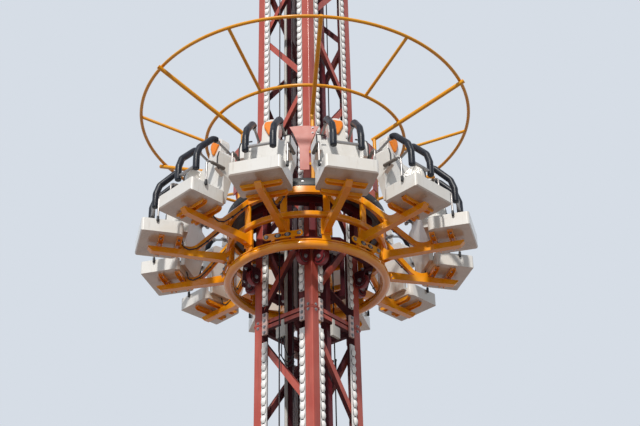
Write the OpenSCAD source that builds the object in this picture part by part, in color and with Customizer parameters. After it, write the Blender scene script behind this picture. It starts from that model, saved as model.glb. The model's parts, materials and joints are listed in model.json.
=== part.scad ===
// Drop tower ride: a square lattice tower, a carriage that climbs it on guide
// wheels, and a ring of twelve outward-facing seats that turns on the carriage.
// Millimetres, +Z up, origin at the ground in the middle of the tower.
// Heights named ..._z of the carriage, ring frame, seats and crown are measured
// from the bottom ring's centre, which hangs at ring_z at rest.

/* [Tower] */
// Outside width of the tower over its columns
tower_w = 1100; // [1060:10:1120]
// Height of one tower section, of which there are two
section_h = 9230; // [8900:10:9400]
// Zigzag braces on each face of a section
brace_count = 7; // [6:1:9]
// Distance of the first brace's end from the section joint
brace_start = 315; // [260:5:360]
// Gap between the ends of two braces on a column
brace_gap = 220; // [160:10:260]
// Outside width of a column tube
column_w = 150; // [130:5:160]
// Wall of a column tube
column_wall = 8; // [5:1:12]
// Outside corner radius of a column tube
column_r = 20; // [12:1:25]
// Width of a brace bar
brace_w = 90; // [60:5:100]
// Thickness of a brace bar across the face
brace_t = 70; // [50:5:80]
// Height of the bar that closes a section at each end
end_bar_h = 62; // [50:2:80]
// Distance of that bar from the section's end
end_bar_in = 10; // [8:1:20]
// Width of a light strip channel
strip_w = 92; // [70:2:100]
// Depth of a light strip channel
strip_d = 26; // [20:1:30]
// Length of column left bare between a light strip and the end of its section
strip_stop = 295; // [260:5:360]
// Height of a splice block over a section joint
joint_block_h = 350; // [300:10:480]
// Depth of a splice block
joint_block_d = 36; // [30:1:38]
// Side of a guide post inside the tower
guide_w = 100; // [80:5:110]

// Side of a junction box at the section joint
box_w = 170; // [140:5:200]
// Depth of a junction box
box_d = 47; // [40:1:50]
// Drop of a junction box's underside below the section joint
box_drop = 315; // [280:5:340]

/* [Base and head] */
// Side of the base plate
base_plate_w = 1480; // [1440:10:1600]
// Thickness of the base plate
base_plate_t = 40; // [30:1:50]
// Height of the base's leg stubs above the base plate
base_leg_h = 700; // [680:10:800]
// Reach of a base gusset from its leg
gusset_w = 120; // [100:5:130]
// Height of a base gusset
gusset_h = 120; // [90:5:125]
// Height of the base's cross beams
base_beam_h = 180; // [140:10:200]
// Anchor hole centre to base plate edge
anchor_edge = 70; // [60:5:80]
// Distance between an inner pair of anchor holes
anchor_pair_gap = 600; // [500:10:700]
// Radius of an anchor hole
anchor_r = 17; // [12:1:20]
// Height of the head's beams
head_beam_h = 120; // [100:5:140]
// Radius of a sheave at the rope's centre line
sheave_r = 150; // [145:1:155]
// Thickness of a sheave
sheave_t = 50; // [40:2:60]
// Height of a sheave's axle above the beam that carries it
axle_h = 200; // [190:5:220]
// Radius of a sheave's axle
axle_r = 22; // [18:1:26]
// Rope diameter
rope_d = 20; // [16:1:24]

/* [Carriage] */
// Height of the bottom ring's centre above the ground, at rest
ring_z = 10720; // [9800:20:11500]
// Guide wheel diameter
wheel_d = 240; // [200:10:250]
// Guide wheel width
wheel_w = 70; // [50:5:80]
// Gap between a guide wheel and its column
wheel_gap = 0.4; // [0.3:0.1:2]
// Distance of the carriage frame's beams from the tower's axis
frame_r = 905; // [890:1:915]
// Width of a carriage frame beam
frame_w = 110; // [90:5:115]
// Height of a carriage frame beam
frame_h = 120; // [100:5:130]
// Height of the lower frame's centre
lower_frame_z = 205; // [195:5:230]
// Height of the upper frame's centre
upper_frame_z = 900; // [880:5:905]
// Side of a carriage post
carriage_post_w = 90; // [70:5:100]
// Thickness of a wheel plate or a mounting plate
plate_t = 15; // [10:1:18]
// Width of a wheel cheek at its root
fork_w = 210; // [190:5:230]
// Radius of a wheel cheek's round end
fork_end_r = 78; // [60:2:90]
// Inner radius of the fixed slewing ring's race
slew_in_r = 1044; // [1041:1:1046]
// Width of each slewing race
race_w = 45; // [35:1:50]
// Gap between the two slewing races
slew_gap = 0.5; // [0.4:0.1:3]
// Height of the slewing races below their flanges
race_h = 70; // [50:5:80]

/* [Ring frame] */
// Radius of the bottom ring at its centre line
bottom_ring_r = 1175; // [1170:1:1185]
// Diameter of the bottom ring's tube
bottom_tube_d = 130; // [110:5:140]
// Width of the flat flange on the bottom ring
ring_flange_w = 96; // [80:2:110]
// Thickness of the flat flange on the bottom ring
ring_flange_t = 14; // [8:1:18]
// Height of the middle ring's centre
middle_ring_z = 505; // [490:5:520]
// Radius of the middle ring at its centre line
middle_ring_r = 1175; // [1172:1:1185]
// Side of the middle ring's rolled section
middle_ring_w = 90; // [80:2:100]
// Height of the top ring's centre
top_ring_z = 910; // [900:2:920]
// Radius of the top ring at its centre line
top_ring_r = 1190; // [1185:1:1195]
// Height of the top ring's section
top_ring_h = 110; // [90:5:120]
// Thickness of the top ring's section
top_ring_t = 60; // [50:5:64]
// Angle of the first seat at rest, in degrees
ring_turn = 24; // [0:1:29]

/* [Seat arms] */
// Width of a seat arm
arm_w = 95; // [80:5:110]
// Depth of a seat arm at its root
arm_root_h = 130; // [120:5:140]
// Height of a seat arm's underside at its root
arm_root_z = 222; // [215:1:230]
// Width of the bracket plate at a seat arm's root
bracket_w = 170; // [150:5:200]
// Radius of a seat arm's outer end
arm_end_r = 2400; // [2360:10:2450]
// Depth of a seat arm at its outer end
arm_end_h = 85; // [70:5:100]
// Radius of the knee at the lower end of an arm strut
knee_r = 220; // [200:10:240]
// Depth of an arm strut
strut_h = 76; // [60:2:80]
// Width of a cross beam under a seat
cross_w = 78; // [60:2:90]
// Height of a cross beam under a seat
cross_h = 58; // [50:2:60]
// Length of a cross beam under a seat
cross_len = 600; // [560:10:640]
// Length of a splice plate
splice_len = 590; // [500:10:600]
// Height of a splice plate
splice_h = 98; // [80:2:104]

/* [Seats] */
// Radius of the seat's front face
seat_front_r = 2550; // [2530:10:2580]
// Depth of the seat base from front to rear
seat_depth = 625; // [610:5:640]
// Width of the seat
seat_w = 755; // [735:5:775]
// Radius of the seat base's rear corners
seat_rear_round = 90; // [60:5:100]
// Radius of the seat base's front corners
seat_front_round = 40; // [25:5:60]
// Height of the seat's front face
seat_front_h = 210; // [195:5:225]
// Height of the seat's underside
seat_under_z = 394; // [388:1:398]
// Depth of the hollow in the seat base
seat_pan_d = 70; // [50:5:90]
// Wall of the seat mouldings
seat_wall = 34; // [28:1:40]
// Height of the seat back's top
back_top_z = 1760; // [1730:10:1780]
// Lean of the seat back from upright, in degrees
back_lean = 6.5; // [5:0.5:8]
// Thickness of the seat back behind the rider
back_t = 110; // [100:5:120]
// Width of the seat back beside the rider's head
head_w = 250; // [220:5:260]
// Height of the shoulders above the seat pan
shoulder_h = 770; // [740:10:800]
// Thickness of the seat back's side wings
wing_t = 75; // [60:5:85]
// Forward reach of the side wings from the seat base's rear
wing_d = 185; // [160:5:200]
// Height of the wings' lower edge above the seat pan
wing_foot_h = 400; // [380:10:430]
// Height of the head pad's lower tip above the seat pan
pad_foot_h = 905; // [890:5:920]
// Width of the head pad at its top
head_pad_w = 196; // [170:2:210]

/* [Restraints] */
// Distance between the two padded bars, centre to centre
bar_gap = 400; // [390:5:420]
// Diameter of a padded bar
pad_d = 100; // [90:2:110]
// Diameter of a bare restraint tube
tube_d = 44; // [36:2:50]
// Clearance of a restraint's pivot tube in its lugs
pivot_clear = 0.5; // [0.3:0.1:1]
// Height of the restraint's pivot
pivot_z = 1430; // [1420:5:1440]
// Height of the padded bars' top over the shoulders
bar_top_z = 1558; // [1550:2:1570]
// Height of the padded bars' lower end
bar_end_z = 890; // [870:10:920]
// Distance of the padded bars from the seat's front
bar_front_in = 200; // [180:10:220]
// Tube diameter of the grab bars beside a seat
grab_d = 30; // [24:2:32]
// Height of a grab bar's level part
grab_z = 966; // [955:1:975]
// Distance of a grab bar's upright from the seat's front
grab_front_in = 230; // [210:10:250]
// Gap between a grab bar's tube and the side of the seat
grab_off = 6; // [4:1:10]

/* [Crown] */
// Radius of the outer crown ring
crown_out_r = 2630; // [2610:10:2680]
// Height of the outer crown ring
crown_out_z = 2950; // [2900:10:3000]
// Radius of the inner crown ring
crown_in_r = 1580; // [1570:10:1620]
// Height of the inner crown ring
crown_in_z = 2515; // [2490:5:2540]
// Tube diameter of the crown rings and the short spokes
crown_tube_d = 52; // [44:2:60]
// Tube diameter of the long spokes and their posts
spoke_d = 66; // [60:2:84]
// Length of a long spoke outside the outer crown ring
spoke_past = 70; // [40:5:100]
// Angle from a seat to the next long spoke, in degrees
crown_turn = 21; // [18:0.5:23]
// Radius of the circle on which the crown posts stand
crown_post_r = 1180; // [1176:1:1182]
// Width of a crown panel at its top
panel_w = 420; // [360:10:460]
// Width of a crown panel's stem
panel_stem_w = 150; // [120:5:180]
// Height of a crown panel
panel_h = 820; // [760:10:860]
// Height of a crown panel's top edge
panel_top_z = 2060; // [2000:10:2100]

/* [Hidden] */
$fn = 48;
tower_red = "#a8483c";
deep_red = "#6b2a30";
ring_orange = "#d98a1c";
shell_white = "#e8e2d8";
seat_count = 12;
seat_step = 360 / seat_count;
spoke_step = 2 * seat_step;

// Tower levels and places
base_z = base_plate_t + base_leg_h;
joint_z = base_z + section_h;
tower_top = joint_z + section_h;
half_w = tower_w / 2;
column_c = half_w - column_w / 2;
inner_span = tower_w - 2 * column_w;
end_zone = end_bar_h + end_bar_in;
brace_pitch = (section_h - brace_start - end_zone + brace_gap) / brace_count;
brace_rise = brace_pitch - brace_gap;
base_beam_w = column_w;
guide_c = half_w - column_w - guide_w / 2;
rope_out = column_c + sheave_r;
rope_in = column_c - sheave_r;
anchor_c = base_plate_w / 2 - anchor_edge;

// Carriage places
wheel_c = half_w + wheel_gap + wheel_d / 2;
fork_off = wheel_w / 2 + 8;
lower_wheel_z = lower_frame_z - frame_h / 2 - plate_t - wheel_d / 2 - 10;
upper_wheel_z = upper_frame_z + frame_h / 2 + plate_t + wheel_d / 2 + 30;
flange_top_z = upper_frame_z + frame_h / 2;

// Ring frame places
flange_z = bottom_tube_d / 2;
post_foot_z = flange_z + ring_flange_t;
post_t = 36;
top_ring_top = top_ring_z + top_ring_h / 2;
race_out_r = slew_in_r + race_w + slew_gap;
flange_t = 20;
post_base_z = top_ring_top + flange_t;
low_post_r = bottom_ring_r - ring_flange_w / 2 + post_t / 2 + 4;
arm_start_r = low_post_r + post_t / 2;
cross_z = seat_under_z - cross_h;

// Seat places
seat_rear_r = seat_front_r - seat_depth;
pan_z = seat_under_z + seat_front_h - seat_pan_d;
lean = tan(back_lean);
back_front_r = seat_rear_r + 40;
back_foot_z = pan_z - 42;
shoulder_z = pan_z + shoulder_h;
bar_front_r = seat_front_r - bar_front_in;
lug_r = 44;
pivot_r = back_front_r - back_t - (pivot_z - pan_z) * lean - (lug_r + 4) / cos(back_lean);

// Front face of the seat back, as a radius, at height z
function back_r(z) = back_front_r - (z - pan_z) * lean;

// Crown places
crown_slope = (crown_out_z - crown_in_z) / (crown_out_r - crown_in_r);
crown_tilt = atan(crown_slope);
spoke_drop = (spoke_d + crown_tube_d) / 2 / cos(crown_tilt);

module at_ring() translate([0, 0, ring_z]) children();

module each_seat(step = 1, first = 0)
    for (k = [first : step : seat_count - 1])
        rotate([0, 0, ring_turn + k * seat_step]) children();

module each_spoke(first = 0)
    for (k = [0 : 5])
        rotate([0, 0, ring_turn - seat_step + crown_turn + first + k * spoke_step]) children();

module each_quarter()
    for (k = [0 : 3]) rotate([0, 0, 90 * k]) children();

// A square of side w with corners rounded by r, as exact arcs
module rounded_square(w, r) {
    square([w, w - 2 * r], center = true);
    square([w - 2 * r, w], center = true);
    for (x = [-1, 1], y = [-1, 1]) translate([x * (w / 2 - r), y * (w / 2 - r)]) circle(r);
}

// A profile drawn as radius and height, swept once round the tower's axis
module ring_of(fn = 96) rotate_extrude($fn = fn) children();

// A profile drawn in the seat's side plane, as radius and height, w wide
module side_plate(w)
    rotate([90, 0, 0]) linear_extrude(w, center = true) children();

// A straight tube between two points
module rod(a, b, d) {
    v = b - a;
    len = norm(v);
    translate(a)
        rotate([0, acos(v[2] / len), atan2(v[1], v[0])])
            cylinder(h = len, d = d, $fn = 24);
}

// A tube of straight legs along a path in the seat's side plane, with a round
// knuckle a little thicker than the tube at each bend, y to the side of the plane
module side_tube(path, d, y) {
    for (i = [0 : len(path) - 2])
        rod([path[i][0], y, path[i][1]], [path[i + 1][0], y, path[i + 1][1]], d);
    for (i = [1 : len(path) - 2])
        translate([path[i][0], y, path[i][1]]) sphere(d = 1.08 * d, $fn = 24);
}

module base_plate() {
    color("dimgray") difference() {
        translate([-base_plate_w / 2, -base_plate_w / 2, 0])
            cube([base_plate_w, base_plate_w, base_plate_t]);
        for (x = [-1, 1], y = [-1, 1]) {
            anchor_hole(x * anchor_c, y * anchor_c);
            anchor_hole(x * anchor_c, y * anchor_pair_gap / 2);
            anchor_hole(x * anchor_pair_gap / 2, y * anchor_c);
        }
    }
}

module anchor_hole(x, y)
    translate([x, y, -1]) cylinder(h = base_plate_t + 2, r = anchor_r);

// Leg stubs, each with two low gussets to the base plate
module base_legs()
    color(tower_red) for (x = [0, 1], y = [0, 1]) mirror([x, 0, 0]) mirror([0, y, 0]) {
        translate([column_c, column_c, base_plate_t]) linear_extrude(base_leg_h) column_outline();
        for (flip = [0, 1]) mirror([flip, -flip, 0])
            translate([0, column_c, base_plate_t]) rotate([90, 0, 0])
                linear_extrude(plate_t, center = true)
                    polygon([[half_w - 1, 0], [half_w + gusset_w, 0], [half_w + gusset_w, 24],
                        [half_w + 22, gusset_h], [half_w - 1, gusset_h]]);
    }

module base_beams()
    color(tower_red) each_quarter()
        translate([-inner_span / 2, -column_c - base_beam_w / 2, base_plate_t])
            cube([inner_span, base_beam_w, base_beam_h]);

module column_outline() difference() {
    rounded_square(column_w, column_r);
    rounded_square(column_w - 2 * column_wall, column_r - column_wall);
}

module corner_columns()
    color(tower_red) for (x = [-1, 1], y = [-1, 1], s = [0, 1])
        translate([x * column_c, y * column_c, base_z + s * section_h])
            linear_extrude(section_h) column_outline();

// The zigzag of one section, drawn flat, its nodes starting at the left at the top
module zigzag() {
    translate([0, end_bar_in]) square([inner_span, end_bar_h]);
    translate([0, section_h - end_zone]) square([inner_span, end_bar_h]);
    d = brace_w / 2 / cos(atan(brace_rise / inner_span));
    intersection() {
        translate([0, end_bar_in]) square([inner_span, section_h - 2 * end_bar_in]);
        for (i = [0 : brace_count - 1]) {
            top = section_h - brace_start - i * brace_pitch;
            left = i % 2 == 0 ? top : top - brace_rise;
            right = i % 2 == 0 ? top - brace_rise : top;
            polygon([[0, left - d], [inner_span, right - d], [inner_span, right + d], [0, left + d]]);
        }
    }
}

// One face's bracing: the lower section as drawn, the upper one mirrored above the joint
module face_bracing(turn)
    color(tower_red) rotate([0, 0, turn])
        translate([-inner_span / 2, -column_c + brace_t / 2, 0])
            rotate([90, 0, 0]) {
                translate([0, base_z, 0]) linear_extrude(brace_t) zigzag();
                translate([0, tower_top, 0]) mirror([0, 1, 0]) linear_extrude(brace_t) zigzag();
            }

module bracing_front() face_bracing(0);
module bracing_right() face_bracing(90);
module bracing_back() face_bracing(180);
module bracing_left() face_bracing(270);

module light_strips()
    color("white") each_quarter() for (s = [0, 1], side = [-1, 1])
        translate([side * (half_w - column_w - strip_w / 2) - strip_w / 2, -half_w,
                base_z + s * section_h + strip_stop])
            cube([strip_w, strip_d, section_h - 2 * strip_stop]);

module joint_blocks()
    color("#d8b8b0") each_quarter() for (side = [-1, 1])
        translate([side * (half_w - column_w - strip_w / 2) - strip_w / 2, -half_w,
                joint_z - joint_block_h / 2])
            cube([strip_w, joint_block_d, joint_block_h]);

module guide_posts()
    color(deep_red) for (side = [-1, 1])
        translate([side * guide_c - guide_w / 2, -guide_w / 2, base_plate_t])
            cube([guide_w, guide_w, tower_top + head_beam_h - base_plate_t]);

module conduit()
    color("#cfcfd6") translate([-guide_c, -guide_w / 2 - 25, base_plate_t])
        cylinder(h = tower_top - base_plate_t, d = 50);

module junction_boxes()
    color("#cfccc4") for (turn = [0, 90]) rotate([0, 0, turn])
        translate([-0.7 * box_w, -column_c - brace_t / 2, joint_z - box_drop]) {
            translate([0, -8 - box_d, 0]) cube([box_w, box_d, box_w]);
            translate([box_w / 2 - 30, -8, 20]) cube([60, 8, box_drop - end_bar_in - 30]);
        }

module head_frame() {
    color(tower_red) {
        each_quarter() translate([-half_w, -half_w, tower_top])
            cube([tower_w - column_w, column_w, head_beam_h]);
        for (turn = [0, 180]) rotate([0, 0, turn])
            sheave_bracket(tower_top + head_beam_h);
    }
}

// Two cheeks with a round head that hold a sheave over the beam at height z
module sheave_bracket(z) for (side = [-1, 1])
    translate([side * (sheave_t / 2 + 12) - 8, -column_c, z])
        difference() {
            rotate([90, 0, 90]) linear_extrude(16) {
                translate([-60, 0]) square([120, axle_h]);
                translate([0, axle_h]) circle(60);
            }
            translate([-1, 0, axle_h]) rotate([0, 90, 0]) cylinder(h = 18, r = axle_r + 0.5);
        }

module sheave() rotate([0, 90, 0]) {
    difference() {
        cylinder(h = sheave_t, r = sheave_r + 14, center = true, $fn = 64);
        rotate_extrude($fn = 64) translate([sheave_r, 0]) circle(d = rope_d + 0.6, $fn = 24);
        rotate_extrude($fn = 64) translate([sheave_r, -(rope_d + 0.6) / 2])
            square([30, rope_d + 0.6]);
    }
    cylinder(h = sheave_t + 60, r = axle_r, center = true);
}

module head_sheaves()
    color("dimgray") for (turn = [0, 180]) rotate([0, 0, turn])
        translate([0, -column_c, tower_top + head_beam_h + axle_h]) sheave();

module base_sheaves() {
    color("dimgray") for (turn = [0, 180]) rotate([0, 0, turn]) {
        translate([0, -column_c, base_plate_t + base_beam_h + axle_h]) sheave();
        sheave_bracket(base_plate_t + base_beam_h);
    }
}

// Two rope loops, each over a head sheave and under a base sheave
module hoist_ropes() {
    low = base_plate_t + base_beam_h + axle_h;
    high = tower_top + head_beam_h + axle_h;
    color("#3a3a3c") for (turn = [0, 180]) rotate([0, 0, turn]) {
        for (y = [-rope_out, -rope_in]) translate([0, y, low])
            cylinder(h = high - low, d = rope_d, $fn = 24);
        for (end = [[low, 180], [high, 0]])
            translate([0, -column_c, end[0]]) rotate([0, 90, 0]) rotate([0, 0, 90 + end[1]])
                rotate_extrude(angle = 180, $fn = 64) translate([sheave_r, 0])
                    circle(d = rope_d, $fn = 24);
    }
}

// An eight-sided frame round the tower
module octagon_frame(z)
    color(deep_red) translate([0, 0, z - frame_h / 2]) linear_extrude(frame_h)
        difference() {
            octagon(frame_r + frame_w / 2);
            octagon(frame_r - frame_w / 2);
        }

// An octagon with flats towards the four sides, flat_r from its centre
module octagon(flat_r)
    polygon([for (k = [0 : 7]) flat_r / cos(22.5) * [cos(45 * k + 22.5), sin(45 * k + 22.5)]]);

module carriage_lower_frame() at_ring() octagon_frame(lower_frame_z);
module carriage_upper_frame() at_ring() octagon_frame(upper_frame_z);

module carriage_posts() {
    foot = lower_frame_z + frame_h / 2;
    color(deep_red) at_ring() for (k = [0 : 7]) rotate([0, 0, 45 * k])
        translate([frame_r - carriage_post_w / 2, -carriage_post_w / 2, foot])
            cube([carriage_post_w, carriage_post_w, upper_frame_z - frame_h / 2 - foot]);
}

// The plate that carries the two wheels of a corner, and the wheels' rounded cheeks
module corner_fork(z_plate, z_wheel) {
    near = half_w + 42;
    far = frame_r + frame_w / 2;
    cut = far * sqrt(2);
    edge = max(half_w - column_w, cut - far);
    translate([0, 0, z_plate]) linear_extrude(plate_t)
        polygon([[near, edge], [cut - edge, edge], [edge, cut - edge], [edge, near],
            [near, near]]);
    for (flip = [0, 1]) mirror([flip, -flip, 0])
        for (side = [-1, 1])
            translate([wheel_c, column_c + side * (fork_off + plate_t / 2), 0])
                fork_cheek(z_plate + plate_t / 2, z_wheel);
}

module fork_cheek(z_root, z_wheel) side_plate(plate_t) difference() {
    union() {
        polygon([[-fork_w / 2, z_root], [fork_w / 2, z_root],
            [fork_end_r - 6, z_wheel], [6 - fork_end_r, z_wheel]]);
        translate([0, z_wheel]) circle(fork_end_r);
    }
    translate([0, z_wheel]) circle(axle_r + 0.3);
}

module wheel_forks()
    color(deep_red) at_ring() each_quarter() {
        corner_fork(lower_frame_z - frame_h / 2 - plate_t, lower_wheel_z);
        corner_fork(upper_frame_z + frame_h / 2 + flange_t, upper_wheel_z);
    }

module guide_wheels()
    color("#7a1f28") at_ring() each_quarter() for (flip = [0, 1], z = [lower_wheel_z, upper_wheel_z])
        mirror([flip, -flip, 0]) translate([wheel_c, column_c, z]) rotate([90, 0, 0]) {
            rotate_extrude($fn = 64) wheel_section();
            cylinder(h = 2 * (fork_off + plate_t + 6), r = axle_r, center = true);
        }

// Half section of a guide wheel: crowned tread, dished web and hub
module wheel_section() {
    r = wheel_d / 2;
    w = wheel_w / 2;
    polygon([[axle_r - 2, -w - 4], [axle_r + 12, -w - 4], [axle_r + 16, -w + 16],
        [r - 46, -w + 16], [r - 38, -w], [r - 6, -w], [r, -w + 8],
        [r, w - 8], [r - 6, w], [r - 38, w], [r - 46, w - 16],
        [axle_r + 16, w - 16], [axle_r + 12, w + 4], [axle_r - 2, w + 4]]);
}

// A bracket from the frame to each hoist rope, clasping it with a clear hole
module rope_clamps()
    color("dimgray") at_ring() for (turn = [0, 180]) rotate([0, 0, turn]) difference() {
        translate([-50, -(frame_r - frame_w / 2), upper_frame_z - frame_h / 2])
            cube([100, frame_r - frame_w / 2 - rope_out + 34, frame_h]);
        translate([0, -rope_out, upper_frame_z - frame_h / 2 - 1])
            cylinder(h = frame_h + 2, d = rope_d + 12);
    }

module slewing_ring_fixed()
    color("#202022") at_ring() ring_of() {
        translate([frame_r - 30, flange_top_z])
            square([slew_in_r + race_w - frame_r + 30, flange_t]);
        translate([slew_in_r, flange_top_z - race_h]) square([race_w, race_h + flange_t]);
    }

module slewing_ring_turning()
    color("#202022") at_ring() ring_of() {
        translate([race_out_r, top_ring_top])
            square([top_ring_r + top_ring_t / 2 - race_out_r, flange_t]);
        translate([race_out_r, top_ring_top - race_h]) square([race_w, race_h + flange_t]);
    }

// The bottom ring: a round tube with a flat flange rolled on its top
module bottom_ring()
    color(ring_orange) at_ring() ring_of() {
        translate([bottom_ring_r, 0]) circle(d = bottom_tube_d);
        translate([bottom_ring_r - ring_flange_w / 2, flange_z - 12])
            square([ring_flange_w, ring_flange_t + 12]);
    }

module middle_ring()
    color(ring_orange) at_ring() ring_of()
        translate([middle_ring_r, middle_ring_z]) rounded_square(middle_ring_w, 24);

module top_ring()
    color(ring_orange) at_ring() ring_of()
        translate([top_ring_r - top_ring_t / 2, top_ring_z - top_ring_h / 2])
            square([top_ring_t, top_ring_h]);

module ring_posts() {
    low_top = middle_ring_z - middle_ring_w / 2;
    high_foot = middle_ring_z + middle_ring_w / 2;
    color(ring_orange) at_ring() each_seat() {
        translate([low_post_r - post_t / 2, -65, post_foot_z])
            cube([post_t, 130, low_top - post_foot_z]);
        translate([top_ring_r - post_t / 2, -50, high_foot])
            cube([post_t, 100, top_ring_z - top_ring_h / 2 - high_foot]);
    }
}

// Side outline of a seat arm: flat top under the seat, and a raked nose
module arm_outline()
    polygon([[arm_start_r, arm_root_z], [arm_end_r - 60, cross_z - arm_end_h],
        [arm_end_r, cross_z - 24], [arm_end_r, cross_z],
        [seat_rear_r - 20, cross_z], [arm_start_r, arm_root_z + arm_root_h]]);

module seat_arms()
    color(ring_orange) at_ring() each_seat() {
        side_plate(arm_w) arm_outline();
        translate([arm_start_r, -bracket_w / 2, arm_root_z - 42])
            cube([plate_t, bracket_w, arm_root_h + 120]);
        for (side = [-1, 1]) translate([0, side * (arm_w / 2 - 5), 0]) side_plate(10) {
            polygon([[arm_start_r + plate_t - 1, arm_root_z - 32],
                [arm_start_r + 190, arm_root_z + 20], [arm_start_r + plate_t - 1, arm_root_z + 60]]);
            polygon([[arm_start_r + plate_t - 1, arm_root_z + arm_root_h + 70],
                [arm_start_r + 150, arm_root_z + 60], [arm_start_r + plate_t - 1, arm_root_z + 60]]);
        }
    }

// A strut from the top ring down to the arm, with a curved knee behind the seat
module arm_struts() {
    knee_x = seat_rear_r - 115;
    knee_z = cross_z + strut_h / 2 - 12 + knee_r;
    top_r = top_ring_r + top_ring_t / 2;
    slope = atan2(top_ring_z - knee_z, knee_x - top_r)
        + asin(knee_r / norm([knee_x - top_r, top_ring_z - knee_z]));
    end_h = strut_h / 2 / cos(slope);
    color(ring_orange) at_ring() each_seat() side_plate(0.66 * arm_w) difference() {
        intersection() {
            polygon([[top_r, top_ring_z - end_h],
                for (a = [-slope : (slope + 42) / 10 : 42.1])
                    [knee_x + (knee_r + strut_h / 2) * sin(a), knee_z - (knee_r + strut_h / 2) * cos(a)],
                for (a = [42 : -(slope + 42) / 10 : -slope - 0.1])
                    [knee_x + (knee_r - strut_h / 2) * sin(a), knee_z - (knee_r - strut_h / 2) * cos(a)],
                [top_r, top_ring_z + end_h]]);
            translate([top_r, 0]) square([seat_rear_r - 0.3 - top_r, back_top_z]);
        }
        arm_outline();
    }
}

// Inverted channels across the arm, under the seat
module seat_cross_beams()
    color(ring_orange) at_ring() each_seat()
        for (r = [seat_rear_r + cross_w / 2 + 8, seat_rear_r + seat_depth / 2])
            translate([r, 0, cross_z]) intersection() {
                rotate([90, 0, 0]) linear_extrude(cross_len, center = true) channel();
                rotate([90, 0, 90]) linear_extrude(2 * cross_w, center = true)
                    polygon(round_ended(cross_len));
            }

// Side outline of a cross beam whose lower edge curves up to both ends
function round_ended(len) = [
    for (a = [0 : 15 : 90])
        [len / 2 - cross_h + cross_h * sin(a), cross_h * (1 - cos(a))],
    for (a = [90 : -15 : 0])
        [-len / 2 + cross_h - cross_h * sin(a), cross_h * (1 - cos(a))]];

// Section of an inverted channel
module channel() difference() {
    translate([-cross_w / 2, 0]) square([cross_w, cross_h]);
    translate([-cross_w / 2 + 9, -1]) square([cross_w - 18, cross_h - 8]);
}

// Long plates with round ends that tie the ring's six segments
module splice_plates()
    color(ring_orange) at_ring() each_seat(2, 1)
        translate([bottom_ring_r + ring_flange_w / 2, 0, post_foot_z + 20 + splice_h / 2]) {
            for (s = [-1, 1]) translate([-30, s * splice_len / 4 - 25, -20 - splice_h / 2])
                cube([50, 50, 28]);
            rotate([90, 0, 90]) difference() {
                linear_extrude(20) {
                    square([splice_len - splice_h, splice_h], center = true);
                    for (s = [-1, 1]) translate([s * (splice_len - splice_h) / 2, 0])
                        circle(splice_h / 2);
                }
                for (s = [-1, 0, 1]) translate([s * (splice_len - splice_h) / 2, 0, -1])
                    cylinder(h = 22, r = 18);
            }
        }

// Height of a long spoke's axis at radius r
function spoke_z(r) = crown_in_z + (r - crown_in_r) * crown_slope - spoke_drop;

module crown_posts()
    color(ring_orange) at_ring() each_spoke() difference() {
        translate([crown_post_r, 0, post_base_z])
            cylinder(h = spoke_z(crown_post_r) - post_base_z, d = 0.84 * spoke_d);
        long_spoke();
    }

module long_spoke() {
    far = crown_out_r + spoke_past;
    near = crown_post_r - 40;
    rod([near, 0, spoke_z(near)], [far, 0, spoke_z(far)], spoke_d);
}

module crown_long_spokes()
    color(ring_orange) at_ring() each_spoke() long_spoke();

module crown_ring(r, z)
    color(ring_orange) at_ring() ring_of(128) translate([r, z]) circle(d = crown_tube_d, $fn = 32);

module crown_inner_ring() crown_ring(crown_in_r, crown_in_z);
module crown_outer_ring() crown_ring(crown_out_r, crown_out_z);

module crown_short_spokes()
    color(ring_orange) at_ring() each_spoke(seat_step) difference() {
        rod([crown_in_r, 0, crown_in_z], [crown_out_r, 0, crown_out_z], crown_tube_d - 2);
        ring_of(128) translate([crown_in_r, crown_in_z]) circle(d = crown_tube_d, $fn = 32);
        ring_of(128) translate([crown_out_r, crown_out_z]) circle(d = crown_tube_d, $fn = 32);
    }

// Funnel-shaped plates on the crown posts
module crown_panels()
    color("#c05a4c") at_ring() each_spoke()
        translate([crown_post_r + 0.42 * spoke_d, 0, panel_top_z - panel_h])
            rotate([90, 0, 90]) linear_extrude(12)
                polygon([[-panel_stem_w / 2, 0], [panel_stem_w / 2, 0],
                    [panel_stem_w / 2, 0.5 * panel_h], [panel_w / 2 - 40, 0.86 * panel_h],
                    [panel_w / 2, panel_h], [-panel_w / 2, panel_h],
                    [-panel_w / 2 + 40, 0.86 * panel_h], [-panel_stem_w / 2, 0.5 * panel_h]]);

// Seat base: a moulded tub with rounded corners and a shallow pan open to the rear
module seat_base() difference() {
    intersection() {
        translate([0, 0, seat_under_z]) linear_extrude(seat_front_h) union() {
            polygon(base_half(1));
            polygon(base_half(-1));
        }
        side_plate(2 * seat_w) polygon([[seat_rear_r, seat_under_z + 22],
            [seat_rear_r + 26, seat_under_z], [seat_front_r - 16, seat_under_z],
            [seat_front_r, seat_under_z + 20], [seat_front_r, pan_z + seat_pan_d],
            [seat_rear_r, pan_z + seat_pan_d]]);
    }
    translate([seat_rear_r - 1, seat_wall * 2 - seat_w / 2, pan_z])
        cube([seat_depth - 2 * seat_wall, seat_w - 4 * seat_wall, seat_pan_d + 1]);
}

// One half of the seat base's plan
function base_half(side) = [[seat_rear_r, -side],
    for (a = [0 : 22.5 : 90])
        [seat_rear_r + seat_rear_round * (1 - cos(a)),
            side * (seat_w / 2 - seat_rear_round * (1 - sin(a)))],
    for (a = [90 : -22.5 : 0])
        [seat_front_r - seat_front_round * (1 - cos(a)),
            side * (seat_w / 2 - seat_front_round * (1 - sin(a)))],
    [seat_front_r, -side]];

module seat_bases() color(shell_white) at_ring() each_seat() seat_base();

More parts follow.
